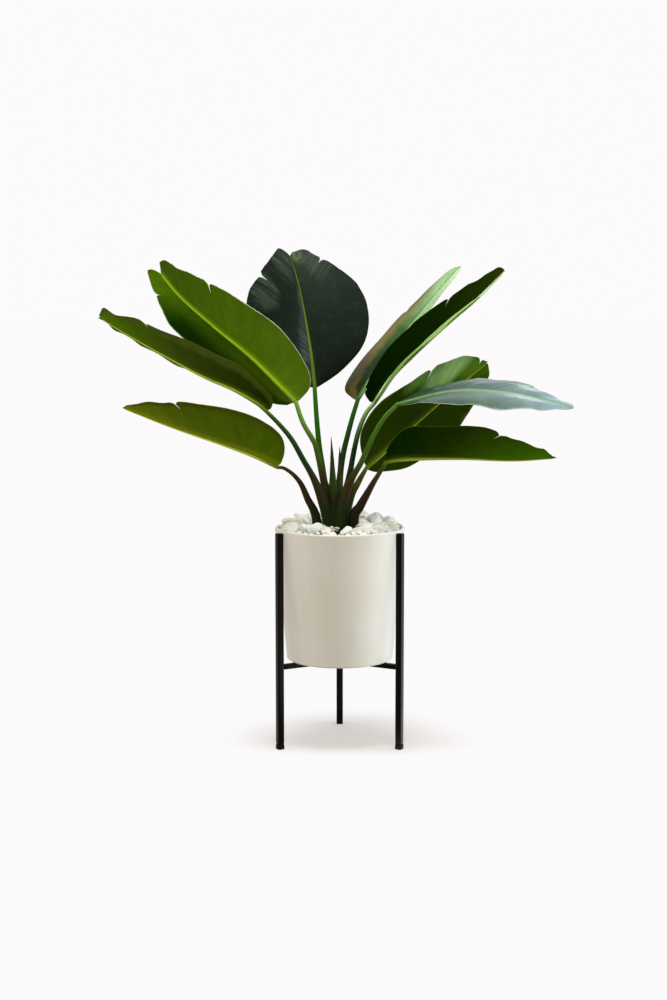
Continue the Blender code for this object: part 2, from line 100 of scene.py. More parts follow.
class Finish:
    # one material, with a method for each thing it is made of
    def __init__(self, name, **values):
        self.material = bpy.data.materials.new(name)
        self.material.use_nodes = True
        self.tree = self.material.node_tree
        self.shader = self.tree.nodes["Principled BSDF"]
        self.paint(**values)

    def node(self, kind, settings=None, inputs=None, output=0):
        made = self.tree.nodes.new(kind)
        for name, value in (settings or {}).items():
            if name == "stops":
                self.fillRamp(made.color_ramp, value)
            else:
                setattr(made, name, value)
        for name, value in (inputs or {}).items():
            self.feed(made.inputs[name], value)
        return Wire(self, made.outputs[output])

    def fillRamp(self, ramp, stops):
        for index, (place, colour) in enumerate(stops):
            stop = ramp.elements[index] if index < 2 else ramp.elements.new(place)
            stop.position = place
            stop.color = (*colour, 1)

    def feed(self, socket, value):
        if isinstance(value, Wire):
            self.tree.links.new(value.socket, socket)
        elif socket.type == "RGBA":
            socket.default_value = (*value, 1)
        else:
            socket.default_value = value

    def paint(self, **values):
        for socket, value in values.items():
            self.feed(self.shader.inputs[socket.replace("_", " ")], value)
        return self.material

    def attribute(self, name):
        return self.node("ShaderNodeAttribute", {"attribute_name": name}, output=2)

    def place(self, x=0.0, y=0.0, z=0.0):
        return self.node("ShaderNodeCombineXYZ", None, {0: x, 1: y, 2: z})

    def objectPlace(self):
        return self.node("ShaderNodeTexCoord", output=3)

    def split(self, where, axis):
        return self.node("ShaderNodeSeparateXYZ", None, {0: where}, axis)

    def noise(self, where, scale, detail=2.0, roughness=0.5):
        inputs = {"Vector": where, "Scale": scale, "Detail": detail, "Roughness": roughness}
        return self.node("ShaderNodeTexNoise", None, inputs)

    def cells(self, where, scale):
        return self.node("ShaderNodeTexVoronoi", None, {"Vector": where, "Scale": scale})

    def ramp(self, factor, stops):
        return self.node("ShaderNodeValToRGB", {"stops": stops}, {0: factor})

    def mix(self, factor, first, second, blend="MIX"):
        settings = {"data_type": "RGBA", "blend_type": blend}
        return self.node("ShaderNodeMix", settings, {0: factor, 6: first, 7: second}, 2)

    def scaled(self, colour, factor):
        return self.node("ShaderNodeVectorMath", {"operation": "SCALE"}, {0: colour, 3: factor})

    def bump(self, height, distance, strength=1.0):
        inputs = {"Height": height, "Distance": distance, "Strength": strength}
        self.paint(Normal=self.node("ShaderNodeBump", None, inputs))


def tint(red, green, blue):
    # screen values 0 to 255 as linear light
    return tuple(((c / 255 + 0.055) / 1.055) ** 2.4 if c > 10 else c / 3295 for c in (red, green, blue))


# mesh tools

def smoothLine(points, count, steps=24):
    # evenly spaced points on a Catmull-Rom curve through the given ones
    given = np.array(points, float)
    knots = np.vstack([2 * given[0] - given[1], given, 2 * given[-1] - given[-2]])
    share = np.linspace(0, 1, steps, endpoint=False)[:, None]
    fine = []
    for a, b, c, d in zip(knots[:-3], knots[1:-2], knots[2:-1], knots[3:]):
        curve = 2 * b + (c - a) * share + (2 * a - 5 * b + 4 * c - d) * share**2
        fine.append(0.5 * (curve + (3 * b - a - 3 * c + d) * share**3))
    fine = np.vstack(fine + [given[-1:]])
    run = np.r_[0, np.cumsum(np.linalg.norm(np.diff(fine, axis=0), axis=1))]
    even = np.linspace(0, run[-1], count)
    return np.stack([np.interp(even, run, column) for column in fine.T], axis=1)


def atShares(line, shares):
    run = np.linspace(0, 1, len(line))
    return np.stack([np.interp(shares, run, column) for column in line.T], axis=1)


def unit(vectors):
    return vectors / np.maximum(np.linalg.norm(vectors, axis=-1, keepdims=True), 1e-12)


def arc(center, radius, start, end, count):
    turns = [radians(start + (end - start) * i / (count - 1)) for i in range(count)]
    return [(center[0] + radius * cos(a), center[1] + radius * sin(a)) for a in turns]


def linked(name, mesh, finishes):
    # the mesh as a smooth object of the scene
    for material in finishes:
        mesh.materials.append(material)
    mesh.shade_smooth()
    piece = bpy.data.objects.new(name, mesh)
    scene.collection.objects.link(piece)
    return piece


def fromBmesh(name, bm, finishes):
    mesh = bpy.data.meshes.new(name)
    bm.to_mesh(mesh)
    bm.free()
    return linked(name, mesh, finishes)


def fromPoints(name, verts, faces, finishes, faceKinds=None, values=None):
    # places are about the pot's axis, and the named numbers are kept on the points
    mesh = bpy.data.meshes.new(name)
    mesh.from_pydata((np.asarray(verts) + axisPlace).tolist(), [], [list(map(int, face)) for face in faces])
    piece = linked(name, mesh, finishes)
    if faceKinds is not None:
        mesh.polygons.foreach_set("material_index", np.array(faceKinds, np.int32))
    for label, numbers in (values or {}).items():
        attribute = mesh.attributes.new(label, "FLOAT", "POINT")
        attribute.data.foreach_set("value", np.array(numbers, np.float32))
    return piece


def turned(name, profile, steps, finish):
    # a profile of (radius, height) points turned about the pot's axis
    bm = bmesh.new()
    verts = [bm.verts.new((r, 0, z)) for r, z in profile]
    edges = [bm.edges.new(pair) for pair in zip(verts[:-1], verts[1:])]
    bmesh.ops.spin(bm, geom=verts + edges, cent=(0, 0, 0), axis=(0, 0, 1), angle=2 * pi, steps=steps,
                   use_merge=True)
    bmesh.ops.remove_doubles(bm, verts=bm.verts, dist=0.00002)
    bmesh.ops.recalc_face_normals(bm, faces=bm.faces)
    bmesh.ops.translate(bm, verts=bm.verts, vec=axisPlace)
    return fromBmesh(name, bm, [finish])


def tubeFaces(rings, around):
    faces = []
    for i in range(rings - 1):
        for j in range(around):
            a, b = i * around + j, i * around + (j + 1) % around
            faces.append((a, b, b + around, a + around))
    ends = rings * around
    return faces + [tuple(range(around - 1, -1, -1)), tuple(range(ends - around, ends))]


def rides(piece, slot, *nodes):
    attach(piece, "root")
    if nodes:
        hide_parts(*nodes)


# stand

stand = {
    "legHeight": 0.420,
    "legWidth": 0.013,
    "legRing": 0.1325,
    "legTurns": {"left": 210, "right": 330, "back": 90},
    "footHeight": 0.010,
    "armWidth": 0.012,
    "armThick": 0.0096,
    "armHeight": 0.1609,
    "hubRadius": 0.018,
    "gap": 0.0003,
    "legRounding": 0.0024,
    "armRounding": 0.0018,
    "footRounding": 0.0016,
    "hubRounding": 0.0012,
    "black": (0.0022, 0.0020, 0.0014),
    "sheen": (1.0, 0.86, 0.62),
    "wearAndBreakup": tint(70, 58, 44),
    "rubber": tint(20, 18, 14),
}


def blackPaint():
    finish = Finish("blackPaint", Specular_IOR_Level=0.14, Specular_Tint=stand["sheen"])
    place = finish.objectPlace()
    peel = finish.noise(place, 900.0)
    cloud = finish.noise(place, 22.0, 3.0)
    rub = finish.noise(place, 160.0, 4.0, 0.7).ease(0.60, 0.80) * 0.25
    finish.bump(peel, 0.00006, 0.6)
    colour = finish.mix(rub, stand["black"], stand["wearAndBreakup"])
    return finish.paint(Base_Color=colour, Roughness=0.36 + cloud * 0.16)


def footRubber():
    finish = Finish("footRubber", Specular_IOR_Level=0.16, Specular_Tint=stand["sheen"])
    grit = finish.noise(finish.objectPlace(), 700.0, 3.0)
    finish.bump(grit, 0.0001, 0.5)
    colour = finish.scaled(stand["rubber"], 0.8 + grit * 0.4)
    return finish.paint(Base_Color=colour, Roughness=0.6 + grit * 0.2)


def bar(name, size, finish, rounding, spin, place, slot, node):
    bm = bmesh.new()
    bmesh.ops.create_cube(bm, size=1)
    bmesh.ops.transform(bm, matrix=Matrix.Diagonal((*size, 1)), verts=bm.verts)
    bmesh.ops.translate(bm, verts=bm.verts, vec=(0, 0, size[2] / 2))
    bmesh.ops.bevel(bm, geom=bm.edges[:], offset=rounding, segments=6, profile=0.5, affect="EDGES")
    bmesh.ops.transform(bm, matrix=Matrix.Translation(place) @ spin, verts=bm.verts)
    rides(fromBmesh(name, bm, [finish]), slot, node)


def makeStand():
    paint, rubber = blackPaint(), footRubber()
    middle = Vector(axisPlace)
    gap, width, foot = stand["gap"], stand["legWidth"], stand["footHeight"]
    hub, soft, thick = stand["hubRadius"], stand["hubRounding"], stand["armThick"]
    legSize = (width, width, stand["legHeight"] - foot - gap)
    armSize = (thick, stand["armWidth"], stand["legRing"] - width / 2 - hub - 2 * gap)
    for name, turn in stand["legTurns"].items():
        spin = Matrix.Rotation(radians(turn), 4, "Z")
        side = Vector((cos(radians(turn)), sin(radians(turn)), 0))
        legPlace = middle + side * stand["legRing"]
        armPlace = middle + side * (hub + gap) + Vector((0, 0, stand["armHeight"]))
        bar(f"leg_{name}_bar", legSize, paint, stand["legRounding"], spin,
            legPlace + Vector((0, 0, foot + gap)), "stand", f"leg_{name}")
        bar(f"foot_{name}_cap", (width, width, foot), rubber, stand["footRounding"], spin, legPlace,
            "feet", f"foot_{name}")
        lying = spin @ Matrix.Rotation(radians(90), 4, "Y")
        bar(f"arm_{name}_bar", armSize, paint, stand["armRounding"], lying, armPlace, "stand", f"arm_{name}")
    low = stand["armHeight"] - thick / 2
    high = low + thick
    profile = [(0, high)] + arc((hub - soft, high - soft), soft, 90, 0, 6)
    profile += arc((hub - soft, low + soft), soft, 0, -90, 6) + [(0, low)]
    rides(turned("hub_disc", profile, 64, paint), "stand", "hub")


# pot

pot = {
    "rimRadius": 0.1254,
    "footRadius": 0.1030,
    "wall": 0.006,
    "floorThick": 0.008,
    "lipHeight": 0.006,  # the straight wall ends this far below the rim and within it
    "lipInset": 0.0006,
    "heelHeight": 0.008,  # and begins this far above the pot's underside
    "floorCurve": 0.02,
    "rimRounding": 0.0026,
    "footRounding": 0.0034,
    "innerRounding": 0.004,
    "slack": 0.0004,  # the outer wall stays this far inside the solid
    "steps": 160,
    "white": (0.755, 0.722, 0.638),
    "warm": (0.69, 0.635, 0.52),
}


def innerRadius(height):
    share = (height - potBase) / (potTop - potBase)
    return pot["footRadius"] + (pot["rimRadius"] - pot["footRadius"]) * share - pot["wall"]


def whiteGlaze():
    finish = Finish("whiteGlaze", Specular_IOR_Level=0.32, Coat_Weight=0.16, Coat_Roughness=0.36)
    place = finish.objectPlace()
    cloud = finish.noise(place, 7.0, 3.0)
    runs = finish.noise(finish.node("ShaderNodeMapping", None, {0: place, 3: (60.0, 60.0, 3.0)}), 1.0, 3.0)
    peel = finish.noise(place, 260.0)
    pin = 1 - finish.cells(place, 210.0).ease(0.03, 0.09)
    pin = pin * finish.noise(place, 40.0, 1.0).ease(0.60, 0.66)
    warmth = cloud.ease(0.35, 0.70) * 0.35 + runs.ease(0.45, 0.75) * 0.18
    colour = finish.mix(warmth, pot["white"], pot["warm"])
    colour = finish.mix(pin * 0.35, colour, pot["warm"])
    finish.bump(peel * 0.5 + runs * 0.6 - pin * 0.4, 0.00010, 0.5)
    return finish.paint(Base_Color=colour, Roughness=0.50 + cloud * 0.08)


def makePot():
    # from the middle of the inner floor over the rim to the middle of the foot
    floor, lip = potBase + pot["floorThick"], potTop - pot["lipHeight"]
    rim, foot, slack = pot["rimRadius"], pot["footRadius"], pot["slack"]
    soft, inner, outer = pot["rimRounding"], pot["innerRounding"], pot["footRounding"]
    corner = innerRadius(floor) - inner
    profile = [(0, floor), (corner, floor)] + arc((corner, floor + inner), inner, -70, 0, 5)
    profile += [(innerRadius(h), h) for h in np.linspace(floor + pot["floorCurve"], lip, 6)]
    profile += arc((innerRadius(potTop) + soft, potTop - soft), soft, 178, 92, 8)
    profile += arc((rim - soft - slack / 2, potTop - soft), soft, 88, 4, 8)
    low, high = (foot + slack, potBase + pot["heelHeight"]), (rim - pot["lipInset"], lip)
    profile += [(high[0] + (low[0] - high[0]) * s, high[1] + (low[1] - high[1]) * s)
                for s in np.linspace(0, 1, 14)]
    profile += arc((foot - outer, potBase + outer), outer, 0, -88, 9) + [(0, potBase)]
    rides(turned("pot_glazed", profile[::-1], pot["steps"], whiteGlaze()), "pot", "pot")


# soil and stones

stones = {
    "bedThick": 0.007,
    "bedSunk": 0.003,  # how far the gravel bed's top lies under the stones' level
    "bedInset": 0.0012,
    "bedGap": 0.0003,
    "seed": 11,
    "front": [(0.0136, -0.092, 0.0138, 0.84), (-0.0240, -0.094, 0.0125, 0.48)],  # place, size, flatness
    "frontRise": 0.55,
    "frontDip": [(-0.020, -0.048, 0.012), (0.010, -0.048, 0.012), (-0.004, -0.076, 0.012),
                 (-0.006, -0.100, 0.006)],  # free of stones
    "heartFront": [(-0.008, -0.082, 0.017), (-0.004, -0.064, 0.014)],  # free of gravel too
    # rise over the bed, room to the wall, the free spots and each other, shares of white, cream and grey
    "large": {"count": 58, "tries": 9000, "sizes": (0.0115, 0.0155), "rise": (0.30, 0.60),
              "riseBySize": True, "offWall": 1.18, "offFree": 0.85, "apart": 0.78, "kinds": (7, 3, 2),
              "flatness": (0.66, 0.88), "level": 4},
    "gravel": {"count": 520, "tries": 6000, "sizes": (0.0030, 0.0062), "rise": (0.001, 0.008),
               "riseBySize": False, "offWall": 1.3, "offFree": 1.0, "apart": 0.72, "kinds": (7, 2, 3),
               "flatness": (0.6, 0.8), "level": 2},
    "collar": {"count": 40, "sizes": (0.0070, 0.0092), "rise": (0.001, 0.004), "offTurn": 0.3,
               "flatness": (0.7, 0.9), "level": 3},
    "flats": 10,  # each stone's soft flats, and how deep and how fully they are cut
    "flatDepth": (0.58, 0.88),
    "flatShare": 0.92,
    "lengths": (0.95, 1.12),
    "widths": (0.80, 1.0),
    "tilt": 0.35,
    "grow": 1.22,  # how much larger the large stones are than their solids
    "heap": 0.0008,
    "slopeBack": 0.050,  # the pile is higher at the back and the sides
    "slopeSide": 0.025,
    "crown": [  # large stones on top: place, height over the bed, size, flatness, kind
        (-0.0425, -0.056, 0.0115, 0.0120, 0.80, "grey"), (-0.0610, -0.070, 0.0090, 0.0125, 0.80, "white"),
        (-0.0860, -0.020, 0.0115, 0.0125, 0.92, "cream"), (-0.0700, 0.034, 0.0150, 0.0135, 0.85, "white"),
        (0.0420, -0.084, 0.0070, 0.0115, 0.75, "white"), (0.0660, -0.066, 0.0080, 0.0110, 0.75, "cream"),
        (0.0660, 0.022, 0.0170, 0.0150, 0.90, "grey"), (0.0960, -0.004, 0.0120, 0.0125, 0.90, "white"),
        (0.0430, 0.040, 0.0150, 0.0110, 0.90, "cream"), (0.0820, -0.034, 0.0100, 0.0120, 0.80, "white"),
        (-0.1000, 0.010, 0.0080, 0.0110, 0.75, "white"), (0.0180, 0.080, 0.0140, 0.0140, 0.85, "white"),
        (-0.0300, 0.084, 0.0150, 0.0140, 0.85, "white"),
    ],
    "colours": {  # each kind's body and its clouds
        "white": (tint(232, 234, 228), tint(214, 218, 211)),
        "cream": (tint(226, 219, 200), tint(212, 200, 174)),
        "grey": (tint(214, 222, 220), tint(224, 228, 224)),
    },
    "stain": tint(112, 78, 50),
    "soil": (tint(30, 22, 16), tint(74, 56, 40)),
}
bedHigh = soilTop + stones["bedThick"]


def darkSoil():
    finish = Finish("darkSoil", Roughness=0.95)
    place = finish.objectPlace()
    crumb = finish.cells(place, 260.0)
    fibre = finish.noise(place, 90.0, 5.0, 0.7)
    finish.bump(crumb * 0.6 + fibre, 0.002, 0.9)
    return finish.paint(Base_Color=finish.mix(fibre, *stones["soil"]))


def stoneFinish(name, body, clouds):
    # polished river stone with clouds, fine veins and pores
    finish = Finish(name, Coat_Weight=0.2, Coat_Roughness=0.15)
    place = finish.objectPlace()
    each = finish.attribute("stone")
    cloud = finish.noise(place, 60.0, 4.0, 0.6)
    vein = 1 - abs(finish.noise(place, 34.0, 3.0) - 0.5).ease(0.0, 0.025)
    pores = finish.noise(place, 900.0)
    colour = finish.mix(cloud.ease(0.38, 0.70) * 0.5 + each * 0.35, body, clouds)
    colour = finish.mix(vein * 0.25 * each.ease(0.7, 1.0), colour, stones["stain"])
    colour = finish.scaled(colour, 0.92 + pores * 0.14)
    finish.bump(cloud + pores * 0.25, 0.0005, 0.5)
    return finish.paint(Base_Color=colour, Roughness=0.26 + cloud * 0.22)


def scattered(draw, kind, free, placed):
    # adds stones at chance places, off the free spots and off each other, until there are enough
    wall = innerRadius(soilTop)
    for _ in range(kind["tries"]):
        size = draw.uniform(*kind["sizes"])
        turn = draw.uniform(0, 2 * pi)
        reach = (wall - kind["offWall"] * size) * draw.random() ** 0.5
        x, y = reach * cos(turn), reach * sin(turn)
        if any((x - a) ** 2 + (y - b) ** 2 < (kind["offFree"] * size + r) ** 2 for a, b, r in free):
            continue
        if any((x - p[0]) ** 2 + (y - p[1]) ** 2 < (kind["apart"] * (size + s)) ** 2 for p, s in placed):
            continue
        rise = draw.uniform(*kind["rise"]) * (size if kind["riseBySize"] else 1)
        placed.append(((x, y, bedHigh + rise), size))
        if len(placed) == kind["count"]:
            break
    return placed


def freeSpots():
    # where the stalks and shoots pass the stones, and the dip at the front
    stalks = [spot for leaf in leaves.values() for spot in stalkSpots(leaf)]
    stalks += [(*shoot["foot"], shoot["thick"]) for shoot in shoots.values()]
    return stalks + stones["frontDip"]


def stoneMesh(draw, place, size, level, flat):
    # one lumpy, faceted and rounded stone
    bm = bmesh.new()
    bmesh.ops.create_icosphere(bm, subdivisions=level, radius=1)
    points = np.array([vert.co for vert in bm.verts])
    faces = [tuple(vert.index for vert in face.verts) for face in bm.faces]
    bm.free()
    for _ in range(stones["flats"]):
        way = unit(np.array([draw.gauss(0, 1), draw.gauss(0, 1), draw.gauss(0, 1)]))
        depth = draw.uniform(*stones["flatDepth"])
        over = np.maximum(points @ way - depth, 0)
        points -= over[:, None] * way * stones["flatShare"]
    stretch = np.array([draw.uniform(*stones["lengths"]), draw.uniform(*stones["widths"]), flat])
    spin = Matrix.Rotation(draw.uniform(0, 2 * pi), 3, "Z")
    turn = spin @ Matrix.Rotation(draw.uniform(-stones["tilt"], stones["tilt"]), 3, "X")
    return (points * stretch) @ np.array(turn).T * size + np.array(place), faces


def addStone(group, draw, place, size, level, flat):
    points, faces = stoneMesh(draw, place, size, level, flat)
    group.append((points, faces, draw.random()))


def joinStones(kind, group):
    # all the stones of one kind as one piece, with each stone's own chance number on its points
    verts, faces, marks = [], [], []
    start = 0
    for points, shape, mark in group:
        verts.append(points)
        faces += [tuple(index + start for index in face) for face in shape]
        marks += [mark] * len(points)
        start += len(points)
    finish = stoneFinish(kind + "Stone", *stones["colours"][kind])
    piece = fromPoints("pebbles_" + kind, np.vstack(verts), faces, [finish], values={"stone": marks})
    rides(piece, "pebbles", "pebbles")


def makeStones():
    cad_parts["soil"].data.materials.clear()
    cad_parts["soil"].data.materials.append(darkSoil())
    large, gravel, collar = stones["large"], stones["gravel"], stones["collar"]
    free = freeSpots()
    front = [((x, y, bedHigh + stones["frontRise"] * size), size) for x, y, size, _ in stones["front"]]
    # the same draws as the solid's, so that every large stone lies where its solid is
    placed = scattered(random.Random(stones["seed"]), large, free, list(front))
    draw = random.Random(stones["seed"] + 1)
    groups = {kind: [] for kind in stones["colours"]}
    for (place, size), (*_, flat) in zip(front, stones["front"]):
        addStone(groups["white"], draw, place, size, large["level"], flat)
    for (x, y, z), size in placed[len(front):]:
        kind = draw.choices(list(groups), large["kinds"])[0]
        place = (x, y, z + stones["heap"] + max(y, 0) * stones["slopeBack"] + abs(x) * stones["slopeSide"])
        size *= stones["grow"]
        addStone(groups[kind], draw, place, size, large["level"], draw.uniform(*large["flatness"]))
    for x, y, high, size, flat, kind in stones["crown"]:
        addStone(groups[kind], draw, (x, y, bedHigh + high), size, large["level"], flat)
    wall = innerRadius(soilTop)
    for index in range(collar["count"]):
        size = draw.uniform(*collar["sizes"])
        turn = 2 * pi * (index + draw.uniform(-collar["offTurn"], collar["offTurn"])) / collar["count"]
        reach = wall - size
        place = (reach * cos(turn), reach * sin(turn), bedHigh + draw.uniform(*collar["rise"]))
        addStone(groups["white"], draw, place, size, collar["level"], draw.uniform(*collar["flatness"]))
    for place, size in scattered(draw, gravel, free + stones["heartFront"], []):
        kind = draw.choices(list(groups), gravel["kinds"])[0]
        addStone(groups[kind], draw, place, size, gravel["level"], draw.uniform(*gravel["flatness"]))
    for kind, group in groups.items():
        joinStones(kind, group)
    reach, high, low = wall - stones["bedInset"], bedHigh - stones["bedSunk"], soilTop + stones["bedGap"]
    profile = [(0, high), (reach, high), (reach, low), (0, low)]
    rides(turned("gravel_bed", profile, 64, darkSoil()), "pebbles")


# leaves

blade = {
    "seed": 29,
    "shares": (0, 0.03, 0.08, 0.15, 0.25, 0.35, 0.45, 0.55, 0.65, 0.75, 0.85, 0.92, 1),
    "rows": 260,
    "columns": (0, 0.012, 0.03, 0.06, 0.11, 0.17, 0.24, 0.32, 0.40, 0.48, 0.56, 0.63, 0.70, 0.76, 0.81, 0.86,
                0.90, 0.94, 0.97, 0.99, 1),
    "bow": 0.20,
    "veinSlant": 55,
    "thickAtRib": 0.0012,
    "thickAtEdge": 0.0005,
    "pleat": 0.00010,  # depth of the folds between the large side veins
    "pleatWidth": 0.0085,
    "wave": 0.0013,
    "waves": 4.3,
    "wavePhase": {"left": 0.2, "right": 0.55},
    "ripple": 0.0005,
    "uneven": 0.0025,
    "chances": {"edge": 60, "ripple": 30, "pleat": 90},  # how many chance values lie along a half
    "tearNarrow": 0.05,  # how much the edge draws in at a tear, and over which share of the leaf
    "tearNotch": 0.014,
    "tearReach": 0.035,  # how far along the leaf its lips lean away
    "roundFrom": 0.93,  # the ends of the two halves are rounded from here on
    "roundShare": 0.30,
}
stem = {
    "depth": 0.046,  # below the soil's top
    "stalkRings": 70,
    "ribRings": 90,
    "sides": 20,
    "ribEnd": 0.985,
    "ribTip": 0.0009,
    "seat": 0.22,  # how deep the midrib is set in the blade
    "ribWiden": 0.45,
    "groove": 0.42,
    "grooveWidth": 0.55,
    "sheath": 0.011,  # how much wider a stalk is towards the heart where it leaves the soil
    "sheathSide": 0.12,
    "sheathFrom": 0.425,
    "sheathTo": 0.550,
    "greensAt": (0.16, 0.34, 0.48, 0.58),
    "brown": tint(62, 38, 26),
}
bladeMarks = ("along", "across", "vein", "fromRib")  # what the points of a blade tell its finish

plainLook = dict(  # one side of a blade, where its leaf says nothing else
    stops=(0.05, 0.5, 0.95),  # where the three greens of each half lie along the leaf
    rib=(128, 150, 50), ribShare=0.9, ribSide=(90, 116, 32), sideWidth=0.012, sideShare=0.45,
    rim=(60, 80, 30), rimFrom=0.9, rimSoft=0.22, rimShare=0.8, rimSides=(1.0, 1.0), rimGone=(2.0, 3.0),
    edge=(120, 112, 54), edgeShare=0.6, edgeSides=(1.0, 1.0), speck=(168, 188, 110), spots=0.5,
    streak=0.14, streaky=0.6, bands=0.16, patches=0.10, relief=0.5, rough=0.42, shine=0.12,
    sheens=[],  # each: place along and across, length, width, share, colour
)
dull = dict(rough=0.55, shine=0.0)  # the under sides are matt

